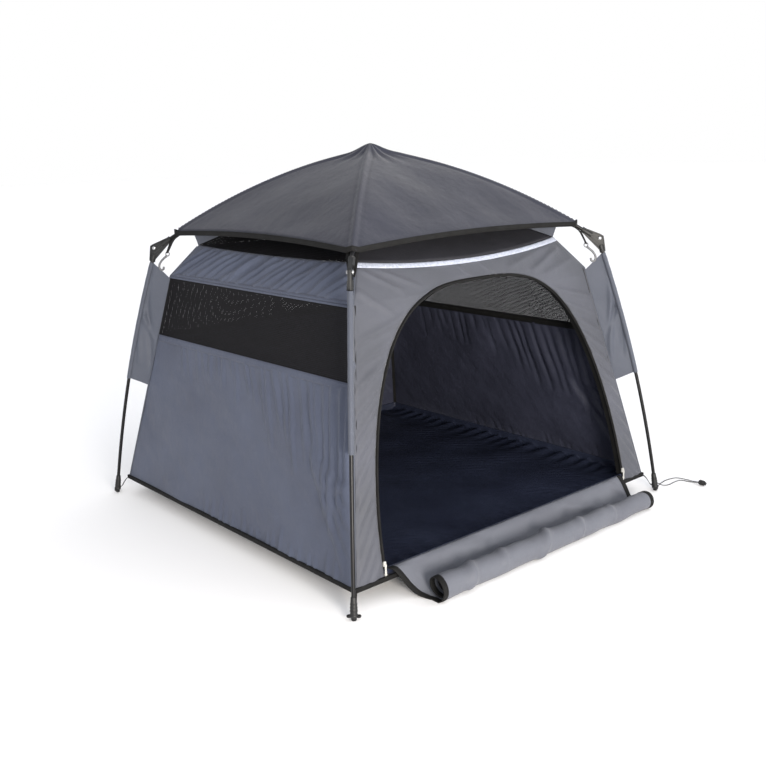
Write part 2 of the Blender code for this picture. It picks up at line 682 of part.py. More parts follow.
def roof_place(a, b):
    """Flat roof planes from the peak to the sagging top edge of the upper panels."""
    ring = max(abs(a), abs(b))
    across = 0.0 if ring == 0 else min(abs(a), abs(b)) / ring
    sag = FRONT_SAG if b < 0 and abs(b) >= abs(a) else SIDE_SAG
    drop = sag * (1 - across * across) * ring ** 3
    half = TOP_HALF - ROOF_EDGE_IN
    out = drop * math.sin(UPPER_LEAN)
    x, y = a * half, b * half
    if abs(a) >= abs(b):
        x += math.copysign(out, a)
    else:
        y += math.copysign(out, b)
    z = ROOF_PEAK_Z + (TOP_Z + ROOF_LIFT - ROOF_PEAK_Z) * ring - drop * math.cos(UPPER_LEAN)
    return Vector((x, y, z))


square_skin("inner_roof", roof_place, 8, FABRIC, NETTING)


# Fly: one skin over the hub and the roof poles, bound in black round its hem
def fly_place(a, b):
    ring = max(abs(a), abs(b))
    if ring == 0:
        return Vector((0.0, 0.0, fly_height(0.0)))
    across = min(abs(a), abs(b)) / ring
    reach = FLY_REACH * ring ** FLY_RING_POWER * (1 - FLY_ARCH * (1 - across * across) * ring * ring)
    half = reach / DIAGONAL
    x, y = half * a / ring, half * b / ring
    over = max((abs(x) + abs(y)) / DIAGONAL - FLY_CORNER_CUT, 0.0)
    x -= math.copysign(over / DIAGONAL, x)
    y -= math.copysign(over / DIAGONAL, y)
    return Vector((x, y, fly_height(reach - over)))


square_skin("fly", fly_place, 16, FABRIC, FLY_CLOTH)


def hem_places(per_side=16):
    """The fly's hem, once round."""
    places = []
    for side in SIDES.values():
        spin = Matrix.Rotation(math.radians(side), 3, "Z")
        for step in range(per_side):
            a = -1 + 2 * step / per_side
            places.append(spin @ fly_place(a, -1.0))
    return places


def spun(place, degrees):
    return Matrix.Rotation(math.radians(degrees), 3, "Z") @ place


def strap_mesh():
    """A thin webbing loop that straddles the roof pole, from the hem's corner down to the hook."""
    corner, beside = (spun(place, -CORNERS["front_left"]) for place in hem_places()[:2])
    sewn = corner.lerp(beside, STRAP_SPREAD / abs(beside.y))
    half = [(sewn.x * HEM_OUT, STRAP_SPREAD, sewn.z - HEM_DROP), STRAP_WAIST,
            (STRAP_END[0], STRAP_NECK, STRAP_END[1])]
    route = half + [(r, -t, z) for r, t, z in reversed(half)]
    return rod_mesh([Vector(p) for p in route], STRAP_RADIUS, 1)


def hook_mesh():
    """A small snap hook that hangs on the strap's end and holds the sleeve's top."""
    return rod_mesh([Vector((r, 0.0, z)) for r, z in HOOK_LINE], HOOK_RADIUS, 1)


hem = [Vector((p.x * HEM_OUT, p.y * HEM_OUT, p.z - HEM_DROP)) for p in hem_places()]
strap_parts = []
for corner_turn in CORNERS.values():
    for part_mesh in (strap_mesh(), hook_mesh()):
        part_mesh.transform(Matrix.Rotation(math.radians(corner_turn), 4, "Z"))
        strap_parts.append(part_mesh)
hem_binding = rod_mesh(hem, HEM_RADIUS, 1, cyclic=True)
add("fly_binding", carved("fly_binding", hem_binding, strap_parts), BINDING)


# Guy cord at the front right foot: a closed loop through the foot plate, with a cord lock
def smooth_path(route, spacing):
    """Points at even steps along a smooth curve through the route's places."""
    ends = [route[0] * 2 - route[1], *route, route[-1] * 2 - route[-2]]
    fine = []
    for p0, p1, p2, p3 in zip(ends, ends[1:], ends[2:], ends[3:]):
        for step in range(12):
            t = step / 12
            fine.append(0.5 * ((2 * p1) + (p2 - p0) * t + (2 * p0 - 5 * p1 + 4 * p2 - p3) * t * t
                               + (3 * p1 - p0 - 3 * p2 + p3) * t ** 3))
    fine.append(route[-1])
    total = sum((b - a).length for a, b in zip(fine, fine[1:]))
    count = max(8, round(total / spacing))
    places, run, goal = [fine[0]], 0.0, total / count
    for a, b in zip(fine, fine[1:]):
        step = (b - a).length
        while run + step >= goal - 1e-9 and len(places) < count:
            places.append(a.lerp(b, (goal - run) / step))
            goal += total / count
        run += step
    return places + [fine[-1]]


def ear_hole(corner, side):
    """Centre of a hole in a foot's plate."""
    turn = Matrix.Rotation(math.radians(CORNERS[corner]), 3, "Z")
    foot_x = LEG_LINE[-1].x - FOOT_UNDER_LEG * (LEG_LINE[-3] - LEG_LINE[-1]).normalized().x
    return turn @ Vector((foot_x, side * FOOT_EAR_REACH, FOOT_EAR_Z))


CORD_OUT = [(0.7000, -0.6335, 0.0075), (0.7040, -0.6120, 0.0030), (0.7080, -0.5850, 0.0014),
            (0.7000, -0.5560, 0.0014), (0.6680, -0.5460, 0.0014), (0.6360, -0.5480, 0.0014),
            (0.6040, -0.5560, 0.0022), (0.5920, -0.5600, 0.0030)]
CORD_LOOP = [(0.0045, 0.0002, -0.0056), (0.0, 0.0, 0.0), (0.0045, -0.0010, 0.0058)]
CORD_BACK = [(0.5920, -0.5650, 0.0140), (0.6060, -0.5700, 0.0060), (0.6320, -0.5735, 0.0016),
             (0.6640, -0.5720, 0.0014), (0.6880, -0.5750, 0.0014), (0.6960, -0.5930, 0.0014),
             (0.6965, -0.6140, 0.0030), (0.6955, -0.6335, 0.0075)]
hole = ear_hole("front_right", 1)
CORD_ROUTE = CORD_OUT + [hole + Vector(step) for step in CORD_LOOP] + CORD_BACK
cord_places = smooth_path([Vector(p) for p in CORD_ROUTE], CORD_SPACING)
add("guy_cord", path_curve(cord_places, CORD_RADIUS, 1), CORD)


def cord_lock_mesh():
    start, way = Vector(CORD_LOCK_START), Vector(CORD_LOCK_WAY).normalized()
    return rod_mesh([start, start + way * CORD_LOCK_LENGTH], CORD_LOCK_RADIUS, 3)


add("cord_lock", cord_lock_mesh(), PLASTIC)


# The whole tent hangs on one empty, set so that its feet and door roll are centred on the origin
def reach_in_y(ignored):
    """Lowest and highest y of the pieces that aren't ignored."""
    bpy.context.view_layer.update()
    graph = bpy.context.evaluated_depsgraph_get()
    low, high = 0.0, 0.0
    for piece in tent.objects:
        if piece.name in ignored:
            continue
        mesh = bpy.data.meshes.new_from_object(piece.evaluated_get(graph))
        reach = [(piece.matrix_world @ vert.co).y for vert in mesh.vertices]
        low, high = min(low, *reach), max(high, *reach)
        bpy.data.meshes.remove(mesh)
    return low, high


front_y, back_y = reach_in_y({"guy_cord", "cord_lock"})
pieces = list(tent.objects)
centre = bpy.data.objects.new("tent_centre", None)
centre.location = (0.0, -(front_y + back_y) / 2, 0.0)
tent.objects.link(centre)
for piece in pieces:
    piece.parent = centre
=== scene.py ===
"""Looks of a pop-up dog tent: an outside folding frame with a hung cabin, a fly and a let-down door.

The pieces are drawn round the upright line under the hub, and piece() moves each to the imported
model's place.  Corner pieces are drawn once along +X and turned to their corners.  Front is -Y.
"""
import math

import bmesh
import bpy
import numpy as np
from mathutils import Matrix, Vector


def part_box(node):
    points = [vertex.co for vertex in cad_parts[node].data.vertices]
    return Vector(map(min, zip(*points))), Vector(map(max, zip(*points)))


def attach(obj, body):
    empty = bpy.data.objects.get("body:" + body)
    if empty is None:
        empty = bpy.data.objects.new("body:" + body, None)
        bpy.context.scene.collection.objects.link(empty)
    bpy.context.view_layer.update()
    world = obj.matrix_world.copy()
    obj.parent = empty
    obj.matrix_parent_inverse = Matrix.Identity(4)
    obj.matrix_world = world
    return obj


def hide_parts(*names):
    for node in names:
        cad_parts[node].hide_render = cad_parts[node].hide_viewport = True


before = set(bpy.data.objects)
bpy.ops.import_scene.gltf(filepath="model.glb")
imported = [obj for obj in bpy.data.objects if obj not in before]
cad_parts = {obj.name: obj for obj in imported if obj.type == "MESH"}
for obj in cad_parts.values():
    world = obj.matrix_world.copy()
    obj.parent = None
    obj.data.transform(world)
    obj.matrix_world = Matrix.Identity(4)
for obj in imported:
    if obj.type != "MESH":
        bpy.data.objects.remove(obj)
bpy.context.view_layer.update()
scene = bpy.context.scene

# Camera, ground and light.  The photograph looks down a little on the front left corner through a
# moderate lens, against pure white, with a low soft source in front and a sweep that is brightest there.
HUB_Y = sum(corner.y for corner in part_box("hub")) / 2


def linear(code):
    """An sRGB hex colour as linear RGBA."""
    parts = [int(code[start:start + 2], 16) / 255 for start in (1, 3, 5)]
    return (*(c / 12.92 if c <= 0.04045 else ((c + 0.055) / 1.055) ** 2.4 for c in parts), 1.0)


def add_node(tree, kind, links=None, **settings):
    """Add one node: settings are its own, links its inputs, each a value or another node's output."""
    made = tree.nodes.new(kind)
    for name, value in settings.items():
        setattr(made, name, value)
    for name, value in (links or {}).items():
        socket = made.inputs[name]
        if isinstance(value, bpy.types.NodeSocket):
            tree.links.new(value, socket)
        else:
            socket.default_value = value
    return made


lens = bpy.data.cameras.new("camera")
lens.sensor_width = 36.0
lens.lens = 45.24
camera = bpy.data.objects.new("camera", lens)
scene.collection.objects.link(camera)
scene.camera = camera
yaw, pitch, roll = (math.radians(angle) for angle in (40.54, 13.93, -1.72))
ahead = Vector((math.sin(yaw), math.cos(yaw), 0.0))
level = Vector((math.cos(yaw), -math.sin(yaw), 0.0))
look = ahead * math.cos(pitch) - Vector((0.0, 0.0, math.sin(pitch)))
rise = ahead * math.sin(pitch) + Vector((0.0, 0.0, math.cos(pitch)))
right = level * math.cos(roll) + rise * math.sin(roll)
top = rise * math.cos(roll) - level * math.sin(roll)
camera.matrix_world = Matrix.Translation((-1.752, -2.073 + HUB_Y, 1.005)) @ Matrix(
    (right, top, -look)).transposed().to_4x4()

scene.view_settings.view_transform = "Standard"
sky = bpy.data.worlds.new("white_sweep")
scene.world = sky
sky.use_nodes = True
sky_tree = sky.node_tree
sky_tree.nodes.clear()
seen = add_node(sky_tree, "ShaderNodeBackground", {"Color": (1, 1, 1, 1), "Strength": 1.0})
facing = add_node(sky_tree, "ShaderNodeTexCoord")
slant = add_node(sky_tree, "ShaderNodeVectorMath", {0: facing.outputs["Generated"], 1: (0.28, -0.60, -1.00)},
                 operation="DOT_PRODUCT")
brightness = add_node(sky_tree, "ShaderNodeMath", {0: slant.outputs["Value"], 1: 1.80}, operation="ADD")
fill = add_node(sky_tree, "ShaderNodeBackground", {"Color": linear("#FAFBFF"),
                                                   "Strength": brightness.outputs[0]})
rays = add_node(sky_tree, "ShaderNodeLightPath")
both = add_node(sky_tree, "ShaderNodeMixShader", {0: rays.outputs["Is Camera Ray"], 1: fill.outputs[0],
                                                  2: seen.outputs[0]})
add_node(sky_tree, "ShaderNodeOutputWorld", {"Surface": both.outputs[0]})

ground_mesh = bpy.data.meshes.new("ground")
ground_work = bmesh.new()
bmesh.ops.create_grid(ground_work, x_segments=1, y_segments=1, size=30.0)
ground_work.to_mesh(ground_mesh)
ground_work.free()
ground = bpy.data.objects.new("ground", ground_mesh)
scene.collection.objects.link(ground)
paper = bpy.data.materials.new("white_paper")
paper.use_nodes = True
paper.node_tree.nodes["Principled BSDF"].inputs["Base Color"].default_value = linear("#FAFAFA")
paper.node_tree.nodes["Principled BSDF"].inputs["Roughness"].default_value = 0.9
ground_mesh.materials.append(paper)


def softbox(name, place, aim, size, power, tint):
    """A square area light at a place, turned to face the aim."""
    data = bpy.data.lights.new(name, "AREA")
    data.size = size
    data.energy = power
    data.color = linear(tint)[:3]
    box = bpy.data.objects.new(name, data)
    box.location = place
    box.rotation_euler = (Vector(aim) - Vector(place)).to_track_quat("-Z", "Y").to_euler()
    scene.collection.objects.link(box)


softbox("key", (-1.7, -4.0, 0.80), (0.0, 0.0, 0.35), 1.3, 240.0, "#FFF7EC")

# Guy cord and cord lock at the front right foot: 2 mm braided polyester, a closed loop through the
# foot's plate, both ends held by a spring lock of ribbed nylon.  It lies on the ground.


def swept(places, section, side=None, closed=False, sizes=None):
    """Carry a closed section along places.  Its x lies along side, or is carried on without twist."""
    count = len(places)
    ways = []
    for spot in range(count):
        before = places[spot - 1] if spot or closed else places[0]
        after = places[(spot + 1) % count] if spot < count - 1 or closed else places[-1]
        ways.append((after - before).normalized())
    turn = side if isinstance(side, Vector) else None
    if side is None:
        turn = ways[0].orthogonal()
    stations = []
    for spot, (place, way) in enumerate(zip(places, ways)):
        if isinstance(side, list):
            turn = side[spot]
        across = (turn - way * way.dot(turn)).normalized()
        if side is None:
            turn = across
        size = sizes[spot] if sizes else 1.0
        basis = Matrix((across, way.cross(across), way)).transposed().to_4x4()
        stations.append(Matrix.Translation(place) @ basis @ Matrix.Diagonal((size, size, 1.0, 1.0)))
    work = bmesh.new()
    round_it = work.verts.layers.float.new("around")
    down_it = work.verts.layers.float.new("along")
    ring = [work.verts.new(stations[0] @ Vector((x, y, 0.0))) for x, y in section]
    rim = 0.0
    for spot, vert in enumerate(ring):
        vert[round_it] = rim
        rim += (Vector(section[(spot + 1) % len(section)]) - Vector(section[spot])).length
    edges = [work.edges.new((a, b)) for a, b in zip(ring, ring[1:] + ring[:1])]
    first, run = list(edges), 0.0
    for spot in range(1, count):
        made = bmesh.ops.extrude_edge_only(work, edges=edges)["geom"]
        fresh = {item for item in made if isinstance(item, bmesh.types.BMVert)}
        edges = [item for item in made
                 if isinstance(item, bmesh.types.BMEdge) and fresh.issuperset(item.verts)]
        step = stations[spot] @ stations[spot - 1].inverted()
        bmesh.ops.transform(work, matrix=step, verts=list(fresh))
        run += (places[spot] - places[spot - 1]).length
        for vert in fresh:
            vert[down_it] = run
    if closed:
        bmesh.ops.bridge_loops(work, edges=edges + first)
        run += (places[0] - places[-1]).length
    else:
        for loop in (first, edges):
            bmesh.ops.edgeloop_fill(work, edges=loop)
    flat = work.loops.layers.uv.new("cloth")
    for face in work.faces:
        rounds = [vert[round_it] for vert in face.verts]
        downs = [vert[down_it] for vert in face.verts]
        for loop, across, down in zip(face.loops, rounds, downs):
            if max(rounds) - across > rim / 2 and len(rounds) == 4:
                across += rim
            if closed and max(downs) - down > run / 2:
                down += run
            loop[flat].uv = (across, down)
    bmesh.ops.recalc_face_normals(work, faces=work.faces)
    return work


def circle(radius, count=12):
    return [(radius * math.cos(math.tau * k / count), radius * math.sin(math.tau * k / count))
            for k in range(count)]


def smooth_path(route, spacing):
    """Points at about even steps along a smooth curve through the route's places."""
    route = [Vector(place) for place in route]
    ends = [route[0] * 2 - route[1], *route, route[-1] * 2 - route[-2]]
    fine = []
    for p0, p1, p2, p3 in zip(ends, ends[1:], ends[2:], ends[3:]):
        for step in range(12):
            t = step / 12
            fine.append(0.5 * ((2 * p1) + (p2 - p0) * t + (2 * p0 - 5 * p1 + 4 * p2 - p3) * t * t
                               + (3 * p1 - p0 - 3 * p2 + p3) * t ** 3))
    fine.append(route[-1])
    total = sum((b - a).length for a, b in zip(fine, fine[1:]))
    count = max(2, round(total / spacing))
    places, run, goal = [fine[0]], 0.0, total / count
    for a, b in zip(fine, fine[1:]):
        step = (b - a).length
        while run + step >= goal - 1e-9 and len(places) < count:
            places.append(a.lerp(b, (goal - run) / step))
            goal += total / count
        run += step
    return places + [fine[-1]]


def lathe(profile, sides=32):
    """Turn a profile of (radius, height) about the upright axis."""
    work = bmesh.new()
    line = [work.verts.new((radius, 0.0, height)) for radius, height in profile]
    edges = [work.edges.new(pair) for pair in zip(line, line[1:])]
    bmesh.ops.spin(work, geom=line + edges, cent=(0, 0, 0), axis=(0, 0, 1), angle=math.tau,
                   steps=sides, use_merge=True)
    bmesh.ops.remove_doubles(work, verts=work.verts, dist=0.000005)
    bmesh.ops.recalc_face_normals(work, faces=work.faces)
    return work


def placed(work, matrix):
    bmesh.ops.transform(work, matrix=matrix, verts=work.verts)
    return work


def joined(parts):
    """Several shells as one, each keeping its own faces."""
    whole = bmesh.new()
    for part in parts:
        mesh = bpy.data.meshes.new("part")
        part.to_mesh(mesh)
        part.free()
        whole.from_mesh(mesh)
        bpy.data.meshes.remove(mesh)
    return whole


def piece(name, work, skins, stands_for=(), sharp=None):
    """Make a finished piece of the tent from drawn faces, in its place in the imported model."""
    bmesh.ops.translate(work, verts=work.verts, vec=(0.0, HUB_Y, 0.0))
    mesh = bpy.data.meshes.new(name)
    work.to_mesh(mesh)
    work.free()
    made = bpy.data.objects.new(name, mesh)
    scene.collection.objects.link(made)
    for skin in skins:
        mesh.materials.append(skin)
    mesh.shade_smooth()
    if sharp:
        mesh.set_sharp_from_angle(angle=math.radians(sharp))
    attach(made, "root")
    if stands_for:
        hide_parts(*stands_for)
    return made


def new_material(name, colour, roughness):
    """A material with its Principled shader, ready for its pattern."""
    made = bpy.data.materials.new(name)
    made.use_nodes = True
    shader = made.node_tree.nodes["Principled BSDF"]
    shader.inputs["Base Color"].default_value = linear(colour)
    shader.inputs["Roughness"].default_value = roughness
    return made, made.node_tree, shader


def mottle(tree, shader, low, high, scale, coords="Object", detail=3.0):
    """Slow colour change between two hex colours over a surface."""
    place = add_node(tree, "ShaderNodeTexCoord")
    cloud = add_node(tree, "ShaderNodeTexNoise", {"Vector": place.outputs[coords], "Scale": scale,
                                                  "Detail": detail, "Roughness": 0.55})
    ramp = add_node(tree, "ShaderNodeMapRange", {"Value": cloud.outputs["Fac"], "From Min": 0.3,
                                                 "From Max": 0.7})
    mix = add_node(tree, "ShaderNodeMix", {0: ramp.outputs[0], 6: linear(low), 7: linear(high)},
                   data_type="RGBA")
    tree.links.new(mix.outputs[2], shader.inputs["Base Color"])


# Braided polyester: two sets of strands cross round the cord, which gives fine dark gaps
cord_skin, tree, shader = new_material("black_cord", "#1B1B1C", 0.75)
where = add_node(tree, "ShaderNodeTexCoord")
braid = [add_node(tree, "ShaderNodeMapping", {"Vector": where.outputs["UV"], "Rotation": (0, 0, turn)})
         for turn in (0.6, -0.6)]
strands = [add_node(tree, "ShaderNodeTexWave", {"Vector": laid.outputs[0], "Scale": 240.0})
           for laid in braid]
crossed = add_node(tree, "ShaderNodeMath", {0: strands[0].outputs["Fac"], 1: strands[1].outputs["Fac"]},
                   operation="MAXIMUM")
lifted = add_node(tree, "ShaderNodeBump", {"Height": crossed.outputs[0], "Strength": 0.5, "Distance": 0.0004})
tree.links.new(lifted.outputs[0], shader.inputs["Normal"])
mottle(tree, shader, "#121213", "#2A2A2C", 300.0)

# Moulded nylon: matt dark grey with a fine spark-eroded grain
nylon, tree, shader = new_material("dark_grey_nylon", "#151617", 0.50)
shader.inputs["Specular IOR Level"].default_value = 0.35
mottle(tree, shader, "#111213", "#1A1B1C", 60.0)
where = add_node(tree, "ShaderNodeTexCoord")
grain = add_node(tree, "ShaderNodeTexNoise", {"Vector": where.outputs["Object"], "Scale": 900.0})
lifted = add_node(tree, "ShaderNodeBump", {"Height": grain.outputs["Fac"], "Strength": 0.2,
                                           "Distance": 0.0002})
tree.links.new(lifted.outputs[0], shader.inputs["Normal"])


def about(turn):
    """A turn in degrees about the upright axis."""
    return Matrix.Rotation(math.radians(turn), 3, "Z")


FOOT_X, EYE_REACH, EYE_Z = 0.8048, 0.0105, 0.010
ear_hole = about(315) @ Vector((FOOT_X, EYE_REACH, EYE_Z))
cord_route = [(0.7000, -0.6335, 0.0075), (0.7040, -0.6120, 0.0030), (0.7080, -0.5850, 0.0014),
              (0.7000, -0.5560, 0.0014), (0.6680, -0.5460, 0.0014), (0.6360, -0.5480, 0.0014),
              (0.6040, -0.5560, 0.0022), (0.5920, -0.5600, 0.0030),
              ear_hole + Vector((0.0045, 0.0002, -0.0056)), ear_hole,
              ear_hole + Vector((0.0045, -0.0010, 0.0058)),
              (0.5920, -0.5650, 0.0140), (0.6060, -0.5700, 0.0060), (0.6320, -0.5735, 0.0016),
              (0.6640, -0.5720, 0.0014), (0.6880, -0.5750, 0.0014), (0.6960, -0.5930, 0.0014),
              (0.6965, -0.6140, 0.0030), (0.6955, -0.6335, 0.0075)]
cord_line = smooth_path(cord_route, 0.004)
guy = piece("guy_line", swept(cord_line, circle(0.0011, 8)), [cord_skin], ["guy_cord"])


def raised_band(radius, foot, rise, width, ramp=0.0006):
    """Part of a turned profile: a band that stands out over a width of it."""
    return [(radius, foot), (radius + rise, foot + ramp), (radius + rise, foot + width - ramp),
            (radius, foot + width)]


def laid_along(way, side="Y"):
    """The turn that lays an upright piece along a direction."""
    return way.to_track_quat("Z", side).to_matrix().to_4x4()


LOCK_START = Vector((0.6978, -0.6340, 0.0086))
lock_way = Vector((-0.05, -1.0, -0.02)).normalized()
lock_profile = [(0.0, 0.0), (0.0058, 0.0), (0.0066, 0.0008)]
for rib in range(5):
    lock_profile += raised_band(0.0068, 0.0020 + rib * 0.0030, 0.0008, 0.0022)
lock_profile += [(0.0066, 0.0172), (0.0050, 0.0178), (0.0046, 0.0180), (0.0046, 0.0212), (0.0040, 0.0220),
                 (0.0, 0.0220)]
lock_place = Matrix.Translation(LOCK_START) @ laid_along(lock_way, "X")
lock = piece("cord_stop", placed(lathe(lock_profile, 28), lock_place), [nylon], ["cord_lock"],
             35)

# Frame: a moulded hub under the fly, four bowed roof poles and four bowed legs of 9.5 mm pultruded
# fibreglass, black, with a satin skin and faint marks along their length.
pole_skin, tree, shader = new_material("black_fibreglass", "#0B0B0C", 0.36)
shader.inputs["Specular IOR Level"].default_value = 0.25
where = add_node(tree, "ShaderNodeTexCoord")
pulled = add_node(tree, "ShaderNodeMapping", {"Vector": where.outputs["UV"], "Scale": (900.0, 12.0, 1.0)})
marks = add_node(tree, "ShaderNodeTexNoise", {"Vector": pulled.outputs[0], "Scale": 1.0, "Detail": 2.0})
lifted = add_node(tree, "ShaderNodeBump", {"Height": marks.outputs["Fac"], "Strength": 0.25,
                                           "Distance": 0.0002})
tree.links.new(lifted.outputs[0], shader.inputs["Normal"])
mottle(tree, shader, "#080809", "#0F0F11", 30.0)
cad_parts["hub"].data.materials.clear()
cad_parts["hub"].data.materials.append(nylon)

CORNERS = {"back_right": 45, "back_left": 135, "front_left": 225, "front_right": 315}


def bowed(start, end, bow, count):
    """Places on a shallow bowed line between two (reach, height) places of the corner's plane."""
    run = Vector(end) - Vector(start)
    side = Vector((-run.y, run.x)).normalized()
    shares = [step / (count - 1) for step in range(count)]
    flat = [Vector(start) + run * t + side * (4 * bow * t * (1 - t)) for t in shares]
    return [Vector((place.x, 0.0, place.y)) for place in flat]


def at_corners(name, drawn, skins, nodes, sharp=None):
    """Turn one drawn piece to the four corners, each standing for its own nodes."""
    for corner, turn in CORNERS.items():
        copy = drawn.copy()
        bmesh.ops.rotate(copy, verts=copy.verts, cent=(0, 0, 0), matrix=about(turn))
        stands_for = [f"{node}_{corner}" for node in nodes]
        piece(f"{name}_{corner}", copy, skins, stands_for, sharp)
    drawn.free()


POLE_RADIUS = 0.00475
ROOF_IN, ROOF_OUT, ROOF_BOW = (0.026, 0.9765), (0.600, 0.748), 0.030
roof_line = bowed(ROOF_IN, ROOF_OUT, ROOF_BOW, 41)
leg_line = bowed((0.6305, 0.714), (0.804, 0.012), 0.017, 41)
for name, line, node in (("roof_rod", roof_line, "roof_pole"), ("leg_rod", leg_line, "leg_pole")):
    at_corners(name, swept(line, circle(POLE_RADIUS, 20)), [pole_skin], [node], 50)


def outline_plate(outline, thickness, bevel):
    """A plate in the corner's plane: its outline is given as (reach, height), its edges are rounded."""
    work = bmesh.new()
    rim = [work.verts.new((reach, -thickness / 2, height)) for reach, height in outline]
    face = work.faces.new(rim)
    made = bmesh.ops.extrude_face_region(work, geom=[face])["geom"]
    bmesh.ops.translate(work, verts=[v for v in made if isinstance(v, bmesh.types.BMVert)],
                        vec=(0.0, thickness, 0.0))
    bmesh.ops.recalc_face_normals(work, faces=work.faces)
    bmesh.ops.bevel(work, geom=list(work.edges), offset=bevel, segments=2, profile=0.5, affect="EDGES",
                    material=-1)
    return work


# Shoulder: a moulded elbow with a triangular ribbed web between the roof pole's socket and the leg's,
# turning on a bright steel rivet.
steel, tree, shader = new_material("zinc_plated_steel", "#9C9D9F", 0.38)
shader.inputs["Metallic"].default_value = 0.85
mottle(tree, shader, "#8E8F92", "#ACADAF", 220.0)
pivot = Vector((0.626, 0.0, 0.737))
roof_way = (roof_line[-1] - roof_line[-4]).normalized()
leg_way = (leg_line[3] - leg_line[0]).normalized()
roof_mouth = roof_line[-1] - roof_way * 0.026
leg_mouth = leg_line[0] + leg_way * 0.0161


def socket(mouth, way, length):
    """A short tube with two raised bands round its mouth."""
    profile = [(0.0052, 0.0), (0.0082, 0.0), (0.0084, 0.0008), (0.0084, 0.0030), (0.0076, 0.0036),
               (0.0076, 0.0060), (0.0083, 0.0066), (0.0083, 0.0084), (0.0076, 0.0090), (0.0074, length),
               (0.0, length)]
    return placed(lathe(profile, 28), Matrix.Translation(mouth) @ laid_along(way))


def flat_section(thick, wide):
    """The section of a strap or rib, from half its thickness and half its width."""
    return [(-thick, -wide), (thick, -wide), (thick, wide), (-thick, wide)]


def painted(work, number):
    """Give all of a part's faces one of its piece's materials."""
    for face in work.faces:
        face.material_index = number
    return work


web_side = Vector((-roof_way.z, 0.0, roof_way.x)) * 0.0070
web_mouth = roof_mouth + roof_way * 0.004
web = [web_mouth + web_side, pivot + Vector((0.004, 0, 0.0100)), pivot + Vector((0.0105, 0, 0.0060)),
       pivot + Vector((0.0120, 0, -0.002)), leg_mouth + Vector((0.0072, 0, 0.003)),
       leg_mouth + Vector((-0.0072, 0, 0.003)), web_mouth - web_side]
web_outline = [(place.x, place.z) for place in web]
heart = Vector((sum(p[0] for p in web_outline) / 7, 0.0, sum(p[1] for p in web_outline) / 7))
across_web = Vector((0.0, 1.0, 0.0))
elbow = [outline_plate(web_outline, 0.0070, 0.0008)]
for side_sign in (-1, 1):
    rail = [Vector((reach, side_sign * 0.0042, height)) for reach, height in web_outline]
    elbow.append(swept([heart.lerp(p, 0.93) for p in rail], flat_section(0.0009, 0.0013), across_web,
                       closed=True))
    for share in (0.25, 0.5, 0.75):
        start = rail[6].lerp(rail[0], share)
        end = rail[5].lerp(rail[3], share)
        spoke = [start.lerp(end, 0.05), start.lerp(end, 0.9)]
        elbow.append(swept(spoke, flat_section(0.0007, 0.0012), across_web))
elbow.append(socket(roof_mouth, roof_way, 0.0300))
elbow.append(socket(leg_mouth, -leg_way, 0.0200))
rivet_profile = [(0.0, 0.0088), (0.0030, 0.0086), (0.0046, 0.0076), (0.0050, 0.0064), (0.0050, 0.0050),
                 (0.0034, 0.0046), (0.0034, 0.0)]
for turn in (90, -90):
    rivet_place = Matrix.Translation(pivot) @ Matrix.Rotation(math.radians(turn), 4, "X")
    elbow.append(painted(placed(lathe(rivet_profile, 24), rivet_place), 1))
at_corners("elbow", joined(elbow), [nylon, steel], ["shoulder"], 35)

# Foot: a moulded nylon socket on the leg's end, with a plate of two eyes for the tent's strap and a
# peg, and a ribbed nub that stands on the ground.
up_leg = (leg_line[-5] - leg_line[-1]).normalized()
foot_base = leg_line[-1] - up_leg * 0.004
foot_profile = [(0.0, 0.0), (0.0076, 0.0), (0.0094, 0.0014), (0.0098, 0.0036), (0.0094, 0.0058),
                (0.0082, 0.0072), (0.0080, 0.0100)]
for rib in range(3):
    foot_profile += raised_band(0.0081 - rib * 0.0003, 0.0120 + rib * 0.0075, 0.0007, 0.0038)
foot_profile += [(0.0070, 0.0380), (0.0066, 0.0425), (0.0062, 0.0440), (0.0052, 0.0440), (0.0052, 0.0400)]
shoe = [placed(lathe(foot_profile, 28), Matrix.Translation(foot_base) @ laid_along(up_leg))]
nub_profile = [(0.0, 0.0), (0.0046, 0.0), (0.0058, 0.0008), (0.0060, 0.0020), (0.0054, 0.0026),
               (0.0060, 0.0032), (0.0064, 0.0044), (0.0058, 0.0050), (0.0066, 0.0058), (0.0070, 0.0080),
               (0.0070, 0.0120)]
shoe.append(placed(lathe(nub_profile, 28), Matrix.Translation((foot_base.x, 0.0, 0.0))))
eye_profile = [(0.0027, -0.0014), (0.0032, -0.0020), (0.0052, -0.0020), (0.0058, -0.0014), (0.0058, 0.0014),
               (0.0052, 0.0020), (0.0032, 0.0020), (0.0027, 0.0014), (0.0027, -0.0014)]


def rounded_block(size, place, rounding):
    """A box with rounded edges."""
    work = bmesh.new()
    bmesh.ops.create_cube(work, size=1.0, matrix=Matrix.Translation(place) @ Matrix.Diagonal((*size, 1.0)))
    bmesh.ops.bevel(work, geom=list(work.edges), offset=rounding, segments=2, profile=0.5, affect="EDGES",
                    material=-1)
    return work


for side_sign in (-1, 1):
    eye_place = Matrix.Translation((foot_base.x, side_sign * EYE_REACH, EYE_Z))
    shoe.append(placed(lathe(eye_profile, 28), eye_place))
    arm_place = Vector((foot_base.x, side_sign * 0.0052, EYE_Z))
    shoe.append(rounded_block((0.0084, 0.0060, 0.0036), arm_place, 0.0006))
at_corners("shoe", joined(shoe), [nylon], ["foot"], 35)

# Wall cloth: plain-weave polyester taffeta, blue grey. Its inside is a darker copy: partly its matt coat,
# partly painted shade of the cabin's inside.
# The real 0.3 mm threads don't show at this size, so the weave is drawn at 1.1 mm.
WEAVE = 0.0011
ONE_WAVE = 0.314        # the Wave node's scale at which one wave is one unit long


